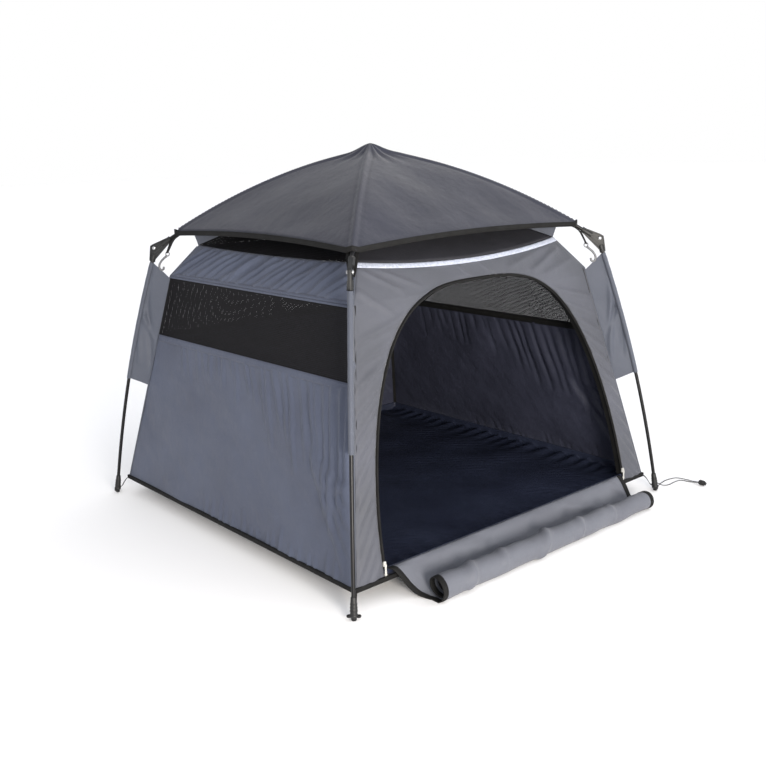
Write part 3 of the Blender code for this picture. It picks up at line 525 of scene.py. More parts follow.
def cloth(name, low, high, roughness, thread, sheen=0.10, bump=0.35):
    """A woven cloth: threads from its own flat coordinates, with slow shading and a little sheen."""
    made, tree, shader = new_material(name, high, roughness)
    shader.inputs["Sheen Weight"].default_value = sheen
    shader.inputs["Sheen Roughness"].default_value = 0.45
    shader.inputs["Specular IOR Level"].default_value = 0.22
    where = add_node(tree, "ShaderNodeTexCoord")
    pitch = add_node(tree, "ShaderNodeMapping", {"Vector": where.outputs["UV"], "Scale": (1 / thread,) * 3})
    warp, weft = (add_node(tree, "ShaderNodeTexWave", {"Vector": pitch.outputs[0], "Scale": ONE_WAVE},
                           bands_direction=way) for way in "XY")
    weave = add_node(tree, "ShaderNodeMath", {0: warp.outputs["Fac"], 1: weft.outputs["Fac"]},
                     operation="ADD")
    slack = add_node(tree, "ShaderNodeTexNoise", {"Vector": where.outputs["UV"], "Scale": 34.0,
                                                  "Detail": 4.0})
    soft = add_node(tree, "ShaderNodeBump", {"Height": slack.outputs["Fac"], "Strength": 0.45,
                                             "Distance": 0.004})
    fine = add_node(tree, "ShaderNodeBump", {"Height": weave.outputs[0], "Normal": soft.outputs[0],
                                             "Strength": bump, "Distance": thread / 4})
    tree.links.new(fine.outputs[0], shader.inputs["Normal"])
    mottle(tree, shader, low, high, 5.0, "UV", 5.0)
    rub = add_node(tree, "ShaderNodeTexNoise", {"Vector": where.outputs["UV"], "Scale": 11.0, "Detail": 3.0})
    wear = add_node(tree, "ShaderNodeMapRange", {"Value": rub.outputs["Fac"], "To Min": roughness - 0.08,
                                                 "To Max": roughness + 0.08})
    tree.links.new(wear.outputs[0], shader.inputs["Roughness"])
    return made


wall_cloth = cloth("wall_polyester", "#3F4453", "#474D5D", 0.55, WEAVE)
# The inside's darker, bluer colour is partly its coat and partly painted shade of the cabin's inside.
wall_inside_coat_and_shade = cloth("wall_inside_coat_and_painted_shade", "#2A2C38", "#323442", 0.50, WEAVE, 0.0)
BASE_HALF, BASE_Z, BREAK_HALF, BREAK_Z, TOP_HALF, TOP_Z = 0.540, 0.047, 0.415, 0.656, 0.352, 0.742
SILL_Z = 0.485
CLOTH = 0.0010
SEAM_CLEAR = 0.0022
lower_lean = math.atan((BASE_HALF - BREAK_HALF) / (BREAK_Z - BASE_Z))
upper_lean = math.atan((BREAK_HALF - TOP_HALF) / (TOP_Z - BREAK_Z))
SIDES = {"front": 0, "right": 90, "back": 180, "left": 270}


def wall_half(z):
    """Half width of the cabin at a height."""
    low = BASE_HALF - (z - BASE_Z) * math.tan(lower_lean)
    return np.where(z <= BREAK_Z, low, BREAK_HALF - (z - BREAK_Z) * math.tan(upper_lean))


def turned(x, y, z, degrees):
    """Places turned about the upright axis."""
    turn = math.radians(degrees)
    return np.stack([x * math.cos(turn) - y * math.sin(turn), x * math.sin(turn) + y * math.cos(turn), z],
                    axis=1)


def on_wall(side, u, z, lift):
    """Places on a side's wall: u runs to its right, z is the height, lift is out along its normal."""
    lean = np.where(z <= BREAK_Z, lower_lean, upper_lean)
    return turned(u, -wall_half(z) - lift * np.cos(lean), z + lift * np.sin(lean), SIDES[side])


def sheet_of(rule, across, up):
    """A grid of cells whose points a rule places: it takes arrays in -1..1 and gives places and the
    cloth's own flat coordinates in metres."""
    work = bmesh.new()
    bmesh.ops.create_grid(work, x_segments=across, y_segments=up, size=1.0)
    verts = list(work.verts)
    shares = np.array([vert.co[:2] for vert in verts])
    places, flat = rule(shares[:, 0], shares[:, 1])
    for index, (vert, place) in enumerate(zip(verts, places.tolist())):
        vert.index = index
        vert.co = place
    flat = flat.tolist()
    layer = work.loops.layers.uv.new("cloth")
    for face in work.faces:
        for loop in face.loops:
            loop[layer].uv = flat[loop.vert.index]
    return work


FOLD_GAIN = 2.1


def folds(u, v, lines):
    """Height of soft folds.  Each runs from (u, v) to (u, v), with its half width and its height."""
    lift = np.zeros_like(u)
    for u0, v0, u1, v1, wide, high in lines:
        run = math.hypot(u1 - u0, v1 - v0)
        share = np.clip(((u - u0) * (u1 - u0) + (v - v0) * (v1 - v0)) / run ** 2, 0, 1)
        off = ((u - u0) * (v1 - v0) - (v - v0) * (u1 - u0)) / run
        lift += FOLD_GAIN * high * np.exp(-(off / (0.85 * wide)) ** 2) * np.sqrt(4 * share * (1 - share))
    return lift


def ripple(u, v, seed, count, wave, high):
    """Slack in the cloth: a sum of waves in seeded directions."""
    draw = np.random.default_rng(seed)
    lift = np.zeros_like(u)
    for _ in range(count):
        angle, phase = draw.uniform(0, math.tau), draw.uniform(0, math.tau)
        length = wave * draw.uniform(0.6, 1.7)
        lift += np.sin((u * math.cos(angle) + v * math.sin(angle)) * math.tau / length + phase)
    return lift * high / math.sqrt(count)


def settle(distance, width):
    """0 at a seam, rising smoothly to 1 at the width from it."""
    t = np.clip(distance / width, 0, 1)
    return t * t * (3 - 2 * t)


def thicken(made, thickness=CLOTH, inside=0):
    wall = made.modifiers.new("cloth", "SOLIDIFY")
    wall.thickness = thickness
    wall.offset = 0.0
    wall.material_offset = inside
    wall.material_offset_rim = 0
    return made


# Lower wall panels: each hangs from the band under its window, gathered there, and is pulled down to
# the feet, so that long folds fan from the band to the front corner.


def lower_folds(toward, seed):
    """Gathers under the band, the fan to the corner at the side of toward, and puckers at the foot."""
    draw = np.random.default_rng(seed)
    lines = []
    for start in np.arange(-0.30, 0.47, 0.034):
        u0 = start + draw.uniform(-0.008, 0.008)
        pull = max(0.0, (u0 + 0.05) / 0.5)
        length = draw.uniform(0.05, 0.13) + 0.26 * pull
        drift = 0.02 + 0.16 * pull * (0.5 - u0) / 0.5
        high = draw.uniform(0.0012, 0.0022) + 0.0018 * pull
        wide = draw.uniform(0.006, 0.009) + 0.003 * pull
        lines.append((toward * u0, 0.446, toward * (u0 + drift), 0.446 - length, wide, high))
    for k in range(5):
        u0 = 0.30 + 0.035 * k
        lines.append((toward * u0, 0.30 - 0.02 * k, toward * (0.505 + 0.004 * k), 0.02 + 0.05 * k,
                      0.012, 0.0030))
    for start in np.arange(-0.10, 0.50, 0.036):
        u0 = start + draw.uniform(-0.01, 0.01)
        lines.append((toward * u0, -0.01, toward * (u0 - 0.012), draw.uniform(0.03, 0.07), 0.0055, 0.0017))
    return lines


def lower_rule(side, toward, seed):
    lines = lower_folds(toward, seed)

    def rule(a, b):
        z = BASE_Z + (SILL_Z - BASE_Z) * (b + 1) / 2
        width = wall_half(z) - SEAM_CLEAR
        u = a * width
        v = (z - BASE_Z) / math.cos(lower_lean)
        edge = settle(width - np.abs(u), 0.02) * settle(v, 0.006) * settle(0.4418 - v, 0.010)
        slack = ripple(u, v, seed, 9, 0.16, 0.0020) + ripple(u, v, seed + 1, 8, 0.05, 0.0005)
        belly = -0.006 * (1 - a * a) * np.sin(np.pi * (b + 1) / 2)
        return on_wall(side, u, z, (folds(u, v, lines) + slack + belly) * edge), np.stack([u, v], axis=1)
    return rule


UPPER_RISE, SIDE_SAG = (TOP_Z - BREAK_Z) / math.cos(upper_lean), 0.007


def upper_rule(side, toward, seed):
    """The leaning panel over a window: close diagonal folds, and a top edge that hangs a little."""
    draw = np.random.default_rng(seed)
    lines = []
    for start in np.arange(-0.44, 0.34, 0.040):
        u0 = start + draw.uniform(-0.008, 0.008)
        lines.append((toward * u0, draw.uniform(0.0, 0.012), toward * (u0 + draw.uniform(0.10, 0.15)),
                      UPPER_RISE + draw.uniform(-0.012, 0.008), draw.uniform(0.005, 0.008),
                      draw.uniform(0.0022, 0.0038)))

    def rule(a, b):
        v = UPPER_RISE * (b + 1) / 2
        drop = SIDE_SAG * (1 - a * a) * (v / UPPER_RISE)
        v = v - drop
        z = BREAK_Z + v * math.cos(upper_lean)
        width = BREAK_HALF - v * math.sin(upper_lean) - SEAM_CLEAR
        u = a * width
        edge = settle(width - np.abs(u), 0.012) * settle(v - 0.004, 0.008)
        edge = edge * settle(UPPER_RISE - v - drop, 0.006)
        slack = ripple(u, v, seed, 9, 0.09, 0.0014)
        return on_wall(side, u, z, (folds(u, v, lines) + slack) * edge), np.stack([u, v], axis=1)
    return rule


PULLED = {"left": 1, "right": -1, "back": -1}
for number, (side, toward) in enumerate(PULLED.items()):
    low_panel = piece(f"wall_{side}", sheet_of(lower_rule(side, toward, 11 + number), 170, 74),
                      [wall_cloth, wall_inside_coat_and_shade], [f"lower_panel_{side}"])
    thicken(low_panel, inside=1)
    high_panel = piece(f"eave_{side}", sheet_of(upper_rule(side, toward, 31 + number), 150, 20),
                       [wall_cloth, wall_inside_coat_and_shade], [f"upper_panel_{side}"])
    thicken(high_panel, inside=1)

# Window netting: knitted polyester mesh with close threads.  Its real 1 mm holes are drawn on a 4.4 mm
# pitch, with the small open share that they have when seen aslant.
net_skin, tree, shader = new_material("black_netting", "#0C0C0E", 0.75)
shader.inputs["Specular IOR Level"].default_value = 0.15
mottle(tree, shader, "#0A0A0C", "#111013", 120.0)
WINDOW_PITCH, ROOF_PITCH, OPEN_SHARE = 0.0044, 0.0060, 0.06


def netting(half_low, half_high, rise, pitch, open_share, place_all):
    """A net in flat coordinates, u from -half to half and v from 0 to the rise, then put in place."""
    work = bmesh.new()
    wide = max(half_low, half_high)
    across, up = math.ceil(2 * wide / pitch), math.ceil(rise / pitch)
    spread = Matrix.Translation((0.0, rise / 2, 0.0)) @ Matrix.Diagonal((wide, rise / 2, 1.0, 1.0))
    bmesh.ops.create_grid(work, x_segments=across, y_segments=up, size=1.0, matrix=spread)
    if half_low != half_high:
        for sign in (-1, 1):
            normal = Vector((sign * rise, half_low - half_high, 0.0))
            bmesh.ops.bisect_plane(work, geom=work.verts[:] + work.edges[:] + work.faces[:],
                                   plane_co=(sign * half_low, 0.0, 0.0), plane_no=normal, clear_outer=True)
    strand = pitch * (1 - math.sqrt(open_share)) / 2
    holes = list(work.faces)
    bmesh.ops.inset_individual(work, faces=holes, thickness=strand, use_even_offset=True)
    bmesh.ops.delete(work, geom=holes, context="FACES")
    flat = np.array([vert.co[:2] for vert in work.verts])
    for vert, place in zip(work.verts, place_all(flat[:, 0], flat[:, 1]).tolist()):
        vert.co = place
    return work


window_rise = (BREAK_Z - SILL_Z) / math.cos(lower_lean)
for number, side in enumerate(PULLED):
    def window_places(u, v, side=side, number=number):
        z = SILL_Z + v * math.cos(lower_lean)
        edge = settle(wall_half(z) - np.abs(u), 0.05) * settle(v, 0.03) * settle(window_rise - v, 0.03)
        return on_wall(side, u, z, (ripple(u, v, 50 + number, 7, 0.22, 0.0009) - 0.003) * edge)
    half_low, half_high = (float(wall_half(np.array(z))) - 0.002 for z in (SILL_Z, BREAK_Z))
    drawn = netting(half_low, half_high, window_rise, WINDOW_PITCH, OPEN_SHARE, window_places)
    net = piece(f"window_{side}", drawn, [net_skin], [f"window_netting_{side}"])

# Window bands: the cloth is turned over and stitched flat along the window's head and foot, with a
# black tape over the seam inside.
band_cloth = cloth("wall_hem", "#3C4151", "#444A5A", 0.55, WEAVE)
tape_skin, tree, shader = new_material("black_polyester_tape", "#0E0E0E", 0.8)
shader.inputs["Specular IOR Level"].default_value = 0.2
where = add_node(tree, "ShaderNodeTexCoord")
ribs = add_node(tree, "ShaderNodeMapping", {"Vector": where.outputs["UV"], "Scale": (1 / 0.0016,) * 3})
rib = add_node(tree, "ShaderNodeTexWave", {"Vector": ribs.outputs[0], "Scale": ONE_WAVE}, bands_direction="Y")
lifted = add_node(tree, "ShaderNodeBump", {"Height": rib.outputs["Fac"], "Strength": 0.5, "Distance": 0.0003})
tree.links.new(lifted.outputs[0], shader.inputs["Normal"])
mottle(tree, shader, "#0B0B0B", "#141414", 40.0)


def band_rule(side, low_z, high_z, lift):
    def rule(a, b):
        z = low_z + (high_z - low_z) * (b + 1) / 2
        u = a * (wall_half(z) - 0.004)
        out = lift + ripple(u, z, 71, 6, 0.05, 0.0002)
        return on_wall(side, u, z, out), np.stack([u, z], axis=1)
    return rule


for side in PULLED:
    bands = [sheet_of(band_rule(side, SILL_Z - 0.017, SILL_Z + 0.002, 0.0011), 90, 3),
             sheet_of(band_rule(side, BREAK_Z - 0.006, BREAK_Z - 0.0002, 0.0011), 90, 2),
             sheet_of(band_rule(side, BREAK_Z + 0.0002, BREAK_Z + 0.008, 0.0013), 90, 2)]
    thicken(piece(f"window_band_{side}", joined(bands), [band_cloth], ()), 0.0008)
    tapes = [sheet_of(band_rule(side, SILL_Z - 0.016, SILL_Z + 0.001, -0.0016), 90, 2),
             sheet_of(band_rule(side, BREAK_Z - 0.008, BREAK_Z - 0.0002, -0.0016), 90, 2)]
    thicken(piece(f"window_tape_{side}", joined(tapes), [tape_skin], ()), 0.0008)

# Front wall: one arched band of the wall cloth round the doorway, 1.9 m along the arch and up to 0.15 m
# wide, with soft folds that run from the zip down to the corners.
# The front's cloth is the wall cloth made less blue: painted warm light on the front.
front_cloth_painted_warm_light = cloth("front_polyester_painted_warm_light", "#42444A", "#4A4C54", 0.55, WEAVE)
DOOR_HALF, DOOR_SILL_Z, DOOR_RISE = 0.450, 0.072, 0.600
DOOR_SIDE_POWER, DOOR_RISE_POWER = 3.3, 1.77
ZIP_SEAT = 0.0036


def door_edge(angle, margin=0.0):
    """The doorway's edge as (half width, height) at an angle from the sill to the crown."""
    def spot(t):
        return np.array([DOOR_HALF * np.maximum(np.cos(t), 0.0) ** (2 / DOOR_SIDE_POWER),
                         DOOR_SILL_Z + DOOR_RISE * np.sin(t) ** (2 / DOOR_RISE_POWER)])
    here = spot(angle)
    run = spot(np.minimum(angle + 0.01, math.pi / 2)) - spot(np.maximum(angle - 0.01, 0.0))
    normal = np.array([run[1], -run[0]]) / np.maximum(np.hypot(*run), 1e-9)
    return here + normal * margin


arch_angles = np.linspace(0.0, math.pi / 2, 400)
arch_width, arch_height = door_edge(arch_angles, ZIP_SEAT)
arch_height = np.maximum.accumulate(arch_height)


def door_half(z):
    """Half width of the doorway at a height, past the zip."""
    return np.interp(z, arch_height, arch_width)


FRONT_SAG, PIPING = 0.028, 0.013
sill_angles = np.linspace(math.pi / 2, 0.0, 300)
arch_edge = np.concatenate([door_edge(sill_angles, ZIP_SEAT).T, [[DOOR_HALF + ZIP_SEAT, BASE_Z]]])
arch_edge[0, 0] = 0.0
head_shares = np.linspace(0.0, 1.0, 60)
head_v = UPPER_RISE - PIPING - FRONT_SAG * (1 - head_shares ** 2) + 0.002
head_u = head_shares * (BREAK_HALF - head_v * math.sin(upper_lean) - SEAM_CLEAR)
seam_z = np.array([BREAK_Z, BASE_Z])
outer_edge = np.concatenate([np.stack([head_u, BREAK_Z + head_v * math.cos(upper_lean)], axis=1),
                             np.stack([wall_half(seam_z) - SEAM_CLEAR, seam_z], axis=1)])


def along_edge(edge, share):
    """The place at a share of an edge's length."""
    runs = np.concatenate([[0.0], np.cumsum(np.hypot(*np.diff(edge, axis=0).T))])
    return np.interp(share * runs[-1], runs, edge[:, 0]), np.interp(share * runs[-1], runs, edge[:, 1])


# Folds from the zip down to the corners, and slanting ones over the doorway
front_folds = []
for mirror in (-1, 1):
    for k, start in enumerate(np.arange(0.62, 0.10, -0.042)):
        inner = float(door_half(np.array(start)))
        drop = 0.050 + 0.010 * k
        outer = float(wall_half(np.array(start - drop)))
        front_folds.append((mirror * (inner - 0.01), start, mirror * (outer + 0.005), start - drop,
                            0.0085 + 0.0003 * k, 0.0034 - 0.0006 * (k % 2)))
front_folds += [(-0.36, 0.73, -0.25, 0.665, 0.008, 0.0022), (-0.31, 0.725, -0.19, 0.67, 0.007, 0.0018),
                (-0.05, 0.71, -0.02, 0.675, 0.006, 0.0012), (0.03, 0.71, 0.06, 0.675, 0.006, 0.0012),
                (0.20, 0.665, 0.35, 0.715, 0.008, 0.0024), (0.25, 0.655, 0.39, 0.685, 0.008, 0.0024),
                (0.11, 0.68, 0.31, 0.725, 0.010, 0.0016), (-0.41, 0.70, -0.30, 0.62, 0.009, 0.0022)]


def front_rule(a, b):
    """The whole front wall: a runs over the arch from sill to sill, b from the zip to the outer seam."""
    share, mirror = np.abs(a), np.where(a < 0, -1.0, 1.0)
    inner_u, inner_z = along_edge(arch_edge, share)
    outer_u, outer_z = along_edge(outer_edge, share)
    t = (b + 1) / 2
    u, z = mirror * (inner_u + (outer_u - inner_u) * t), inner_z + (outer_z - inner_z) * t
    wide = np.hypot(outer_u - inner_u, outer_z - inner_z)
    edge = settle(wide * t + 0.003, 0.012) * settle(wide * (1 - t), 0.008) * settle(z - BASE_Z, 0.010)
    slack = ripple(u, z, 91, 9, 0.10, 0.0014)
    places = on_wall("front", u, z, (folds(u, z, front_folds) + slack) * edge)
    rounded_break = 0.0030 * np.exp(-((z - BREAK_Z) / 0.014) ** 2)
    places[:, 1] += rounded_break * edge
    return places, np.stack([u, z], axis=1)


front = piece("front_wall", sheet_of(front_rule, 440, 26), [front_cloth_painted_warm_light, wall_inside_coat_and_shade],
              ["front_wall_left", "front_wall_right", "front_wall_top"])
thicken(front, inside=1)

# Reflective strip: silver glass-bead tape on the front wall's top edge, puckered by its stitching so
# that it looks ribbed.
silver, tree, shader = new_material("silver_reflective_tape", "#9DA2AE", 0.40)
shader.inputs["Metallic"].default_value = 0.2
mottle(tree, shader, "#8D93A2", "#B4B9C6", 160.0, "UV")


def piping_rule(a, b):
    v = UPPER_RISE - FRONT_SAG * (1 - a * a) - PIPING * (1 - b) / 2
    u = a * (BREAK_HALF - v * math.sin(upper_lean) - 0.0015)
    pucker = 0.5 + 0.5 * np.sin(u * math.tau / 0.0068 + 1.5 * np.sin(u * 41) + 0.8 * b)
    bulge = 0.0014 * (1 - b ** 4)
    places = on_wall("front", u, BREAK_Z + v * math.cos(upper_lean), 0.0010 + bulge * (0.3 + 1.1 * pucker))
    return places, np.stack([u, v], axis=1)


strip = piece("reflective_strip", sheet_of(piping_rule, 620, 8), [silver], ["reflective_piping"])
thicken(strip, 0.0012)

# Door zip: black coil on a tape round the arch.  The tape's inner part stands into the cabin, so it
# shows on the far side of the doorway.  A white enamelled slider hangs at each end.
arch = np.linspace(0.0, math.pi / 2, 60)
half_arch = door_edge(arch).T
arch_places = [Vector((u, -float(wall_half(np.array(z))), z)) for u, z in half_arch]
arch_places += [Vector((-p.x, p.y, p.z)) for p in reversed(arch_places[:-1])]
outward = Vector((0.0, -1.0, 0.0))
arch_sides = [outward] * len(arch_places)
tape_section = [(-0.0180, -0.0004), (0.0010, -0.0004), (0.0010, -0.0045), (0.0022, -0.0045), (0.0022, 0.0022),
                (0.0010, 0.0030), (-0.0180, 0.0006)]
zip_tape = swept(arch_places, tape_section, arch_sides)
coil_line = [place + Vector((0.0, -0.0026, 0.0)) for place in arch_places]
zip_coil = swept(coil_line, circle(0.0019, 8), arch_sides)
white_enamel, tree, shader = new_material("white_enamelled_zinc", "#ABABA8", 0.35)
mottle(tree, shader, "#A0A09C", "#B8B8B5", 90.0)
sliders = []
SLIDER_SIZE, SLIDER_Z, SLIDER_OUT = (0.0074, 0.0052, 0.0120), 0.084, 0.0045
for sign in (-1, 1):
    centre = Vector((sign * DOOR_HALF, -float(wall_half(np.array(SLIDER_Z))) - SLIDER_OUT, SLIDER_Z))
    pull_line = [centre + Vector((0.0, -0.0040, dz)) for dz in (0.002, -0.004, -0.012, -0.022, -0.028)]
    pull = swept(pull_line, flat_section(0.0008, 0.0026), outward, sizes=[0.6, 1.0, 0.8, 1.1, 0.7])
    sliders += [painted(rounded_block(SLIDER_SIZE, centre, 0.0013), 1), painted(pull, 1)]
piece("arch_zip", joined([zip_tape, zip_coil, *sliders]), [tape_skin, white_enamel], ["door_zip"],
      40)

# Door: one sheet of the wall cloth, let down over the sill to the ground and rolled up there, with
# black binding along both ends.  It is rolled from its foot over the top and back inside.
door_cloth = cloth("door_polyester", "#52545C", "#5B5E66", 0.55, WEAVE)
EDGE_Z, FLOOR_INSET = 0.0714, 0.0015
SILL_Y = -(float(wall_half(np.array(EDGE_Z))) - FLOOR_INSET) - 0.0011
FLAP_HALF, ROLL_Y, ROLL_LEFT, ROLL_RIGHT = 0.438, -0.6295, -0.380, 0.432
ROLL_RADIUS, ROLL_HEART, ROLL_STEPS, GROUND_CLEAR = 0.0300, 0.0175, 49, 0.0009


def door_profile():
    """The door's line across the sill as (y, z), from the sill down, under the roll and round in it."""
    fall = [(0.0, 0.0), (-0.0105, -0.0050), (-0.0220, -0.0190), (-0.0360, -0.0440), (-0.0500, -0.0610),
            (-0.0680, -0.0680), (-0.0843, -0.0697)]
    route = [Vector((SILL_Y + dy, 0.0706 + dz, 0.0)) for dy, dz in fall]
    for step in range(1, ROLL_STEPS + 1):
        angle = math.radians(-90 - step * 15.0)
        radius = ROLL_RADIUS + (ROLL_HEART - ROLL_RADIUS) * step / ROLL_STEPS
        route.append(Vector((ROLL_Y + radius * math.cos(angle), 0.0302 + radius * math.sin(angle), 0.0)))
    line = smooth_path(route, 0.0042)
    return np.array([(p.x, p.y) for p in line])


profile = door_profile()
profile_run = np.concatenate([[0.0], np.cumsum(np.hypot(*np.diff(profile, axis=0).T))])


def on_profile(run):
    """(y, z) at a length along the door's line."""
    return np.interp(run, profile_run, profile[:, 0]), np.interp(run, profile_run, profile[:, 1])


def door_rule(inner=0.0, outer=1.0):
    """The door or a strip of it: a runs along the sill, b from the sill to the roll's heart."""
    total = profile_run[-1]

    def rule(a, b):
        run = (b + 1) / 2 * total
        share = np.clip(run / 0.115, 0, 1)
        left = -FLAP_HALF + (ROLL_LEFT + FLAP_HALF) * share
        right = FLAP_HALF + (ROLL_RIGHT - FLAP_HALF) * share
        tuck = np.clip((run - 0.20) / (total - 0.20), 0, 1)
        left, right = left + 0.035 * tuck, right - 0.035 * tuck
        spot = inner + (outer - inner) * (a + 1) / 2
        x = left + (right - left) * spot
        y, z = on_profile(run)
        after_y, after_z = on_profile(run + 0.001)
        before_y, before_z = on_profile(run - 0.001)
        turn_y, turn_z = after_y - before_y, after_z - before_z
        size = np.maximum(np.hypot(turn_y, turn_z), 1e-9)
        out_y, out_z = turn_z / size, -turn_y / size
        roll = settle(run - 0.11, 0.03)
        slim = 1 - roll * 0.16 * np.clip(x / 0.43, 0, 1)
        y = np.where(roll > 0, ROLL_Y + (y - ROLL_Y) * slim, y)
        z = np.where(roll > 0, z * slim, z)
        lines = [(-0.30, 0.15, -0.26, 0.24, 0.016, -0.0045), (-0.05, 0.14, 0.02, 0.25, 0.014, -0.0040),
                 (0.10, 0.15, 0.14, 0.24, 0.012, -0.0035), (0.25, 0.16, 0.27, 0.26, 0.010, -0.0025),
                 (-0.18, 0.17, -0.15, 0.25, 0.012, -0.0028), (-0.25, 0.02, 0.10, 0.09, 0.016, 0.0020),
                 (0.15, 0.02, 0.35, 0.08, 0.014, 0.0020), (0.36, 0.0, 0.42, 0.06, 0.008, 0.0022)]
        wave = folds(x, run, lines) + ripple(x, run, 120, 9, 0.11, 0.0017)
        wave = wave * settle(run, 0.012) * settle(total - run, 0.05) * np.clip(1.2 - tuck, 0.25, 1)
        places = np.stack([x, y + out_y * wave, np.maximum(z + out_z * wave, GROUND_CLEAR)], axis=1)
        return places, np.stack([x, run], axis=1)
    return rule


door = piece("door", sheet_of(door_rule(), 150, 110), [door_cloth], ["door_flap", "door_roll"])
thicken(door)
bindings = []
for inner, outer in ((-0.002, 0.016), (0.984, 1.002)):
    bindings.append(sheet_of(door_rule(inner, outer), 3, 160))
door_edge_tape = thicken(piece("door_binding", joined(bindings), [tape_skin], ()), 0.0026)

# Floor: a tub of coated navy Oxford cloth, slack and rippled, sewn to the walls a little above the
# ground.  Black binding runs round its foot, with a strap at each corner to the foot's eye.
floor_cloth = cloth("floor_oxford", "#1D2130", "#262B3B", 0.42, 0.0016, 0.0, 0.5)
FLAT_SHARE, SLACK_SHARE = 0.935, 0.985


def floor_rule(a, b):
    """A flat tray: ring runs from its middle to the top of its raised edge."""
    ring = np.maximum(np.abs(a), np.abs(b))
    climb = np.clip((ring - FLAT_SHARE) / (1 - FLAT_SHARE), 0, 1)
    base = BASE_HALF - FLOOR_INSET - SEAM_CLEAR
    half = base - (EDGE_Z - BASE_Z) * math.tan(lower_lean) * climb
    slack_base = base * SLACK_SHARE
    spread = np.minimum(ring / FLAT_SHARE, 1.0) * slack_base + climb * (half - slack_base)
    flat = np.where(ring > 0, spread, 0.0)
    size = np.where(ring > 0, flat / np.maximum(ring, 1e-9), base)
    x, y = a * size, b * size
    z = BASE_Z + 0.0022 + (EDGE_Z - BASE_Z - 0.0022) * climb ** 1.4
    inside = settle(1 - ring, 0.10)
    across = x * math.cos(yaw) - y * math.sin(yaw)
    down = x * math.sin(yaw) + y * math.cos(yaw)
    drift = 0.9 * np.sin(across * 9) + 0.6 * np.sin(across * 23 + down * 7)
    fine = 0.0012 * np.sin(down * math.tau / 0.021 + drift)
    fine = fine * np.clip(0.55 + 0.6 * np.sin(across * 5 + 1.0) * np.sin(down * 6), 0, 1)
    beside = np.where(np.abs(a) > np.abs(b), y, x)
    gather = 0.0052 * np.sin(beside * math.tau / 0.052 + 1.4 * np.sin(beside * 17))
    gather = gather * settle(1 - ring, 0.03) * (1 - settle(0.93 - ring, 0.20))
    slack = ripple(x, y, 140, 10, 0.20, 0.0024)
    lift = np.maximum((fine + slack + 0.002) * inside + gather, -0.0012)
    return np.stack([x, y, z + lift], axis=1), np.stack([x, y], axis=1)


tub = piece("floor", sheet_of(floor_rule, 190, 190), [floor_cloth], ["floor_tub"])
thicken(tub)


def ring_places(half, z, per_side):
    """Places once round a square, from its front left corner."""
    places = []
    for turn in SIDES.values():
        for step in range(per_side):
            places.append(about(turn) @ Vector(((-1 + 2 * step / per_side) * half, -half, z)))
    return places


def square_sides(per_side):
    """The outward direction for each place of a square ring, shared at its corners."""
    sides = []
    for turn in SIDES.values():
        out, before = about(turn) @ outward, about(turn - 90) @ outward
        sides += [(out + before).normalized() if step == 0 else out for step in range(per_side)]
    return sides


hem_ring = ring_places(BASE_HALF + 0.0030, BASE_Z + 0.0015, 30)
hem_section = [(-0.0042, -0.0065), (0.0010, -0.0065), (0.0020, -0.0050), (0.0018, 0.0000), (0.0008, 0.0045),
               (-0.0008, 0.0050), (-0.0018, 0.0042), (-0.0030, -0.0040)]
hem_parts = [swept(hem_ring, hem_section, square_sides(30), closed=True)]
for turn in CORNERS.values():
    spin = about(turn)
    route = [(0.7640, 0, 0.0490), (0.7700, 0, 0.0455), (0.7760, 0, 0.0400), (0.7830, 0, 0.0300),
             (0.7890, 0, 0.0200), (0.7960, 0, 0.0155)]
    strap_line = [spin @ place for place in smooth_path(route, 0.004)]
    strap_side = spin @ Vector((0.5, 0.0, 1.0)).normalized()
    hem_parts.append(swept(strap_line, flat_section(0.0008, 0.0050), strap_side))
piece("foot_hem", joined(hem_parts), [tape_skin], ["base_binding"], 40)

# Corner seams, fins and sleeves: at each corner the walls meet in a seam.  A flat fin of cloth stands
# out from it to a sleeve round the leg, and a smaller fin hangs the cabin's roof from the roof pole.


def leg_reach(z):
    line = np.array([(place.z, place.x) for place in reversed(leg_line)])
    return np.interp(z, line[:, 0], line[:, 1])


def fin_rule(a, b):
    s, t = (a + 1) / 2, (b + 1) / 2
    seam_z, pole_z = 0.335 + 0.315 * t, 0.356 + 0.338 * t
    seam_x, pole_x = wall_half(seam_z) * math.sqrt(2), leg_reach(pole_z) - 0.0050
    x, z = seam_x + (pole_x - seam_x) * s, seam_z + (pole_z - seam_z) * s
    lines = [(0.70, 0.64, 0.655, 0.47, 0.007, 0.0042), (0.66, 0.64, 0.665, 0.36, 0.009, -0.0030),
             (0.69, 0.60, 0.70, 0.40, 0.008, 0.0026)]
    y = (folds(x, z, lines) + ripple(x, z, 160, 7, 0.10, 0.0010)) * settle(s, 0.15) * settle(1 - s, 0.15)
    return np.stack([x, y, z], axis=1), np.stack([x, z], axis=1)


ROOF_PEAK, ROOF_HALF, ROOF_EDGE_Z = 0.940, 0.352, 0.7429
FIN_IN, FIN_LOW_OUT, FIN_OUT = 0.13, 0.4978, 0.515


def hip_height(reach):
    """Height of the cabin roof's hip at a reach along the diagonal."""
    return ROOF_PEAK - (ROOF_PEAK - TOP_Z) * reach / (ROOF_HALF * math.sqrt(2))


def roof_fin_rule(a, b):
    s, t = (a + 1) / 2, (b + 1) / 2
    low_x = FIN_IN + (FIN_LOW_OUT - FIN_IN) * s
    low_z = hip_height(low_x) - 0.0012
    line = np.array([(place.x, place.z) for place in roof_line])
    high_x = FIN_IN + (FIN_OUT - FIN_IN) * s
    high_z = np.interp(high_x, line[:, 0], line[:, 1]) - 0.0050
    x, z = low_x + (high_x - low_x) * t, low_z + (high_z - low_z) * t
    y = ripple(x, z, 170, 6, 0.08, 0.0009) * settle(t, 0.2) * settle(1 - t, 0.2)
    return np.stack([x, y, z], axis=1), np.stack([x, z], axis=1)


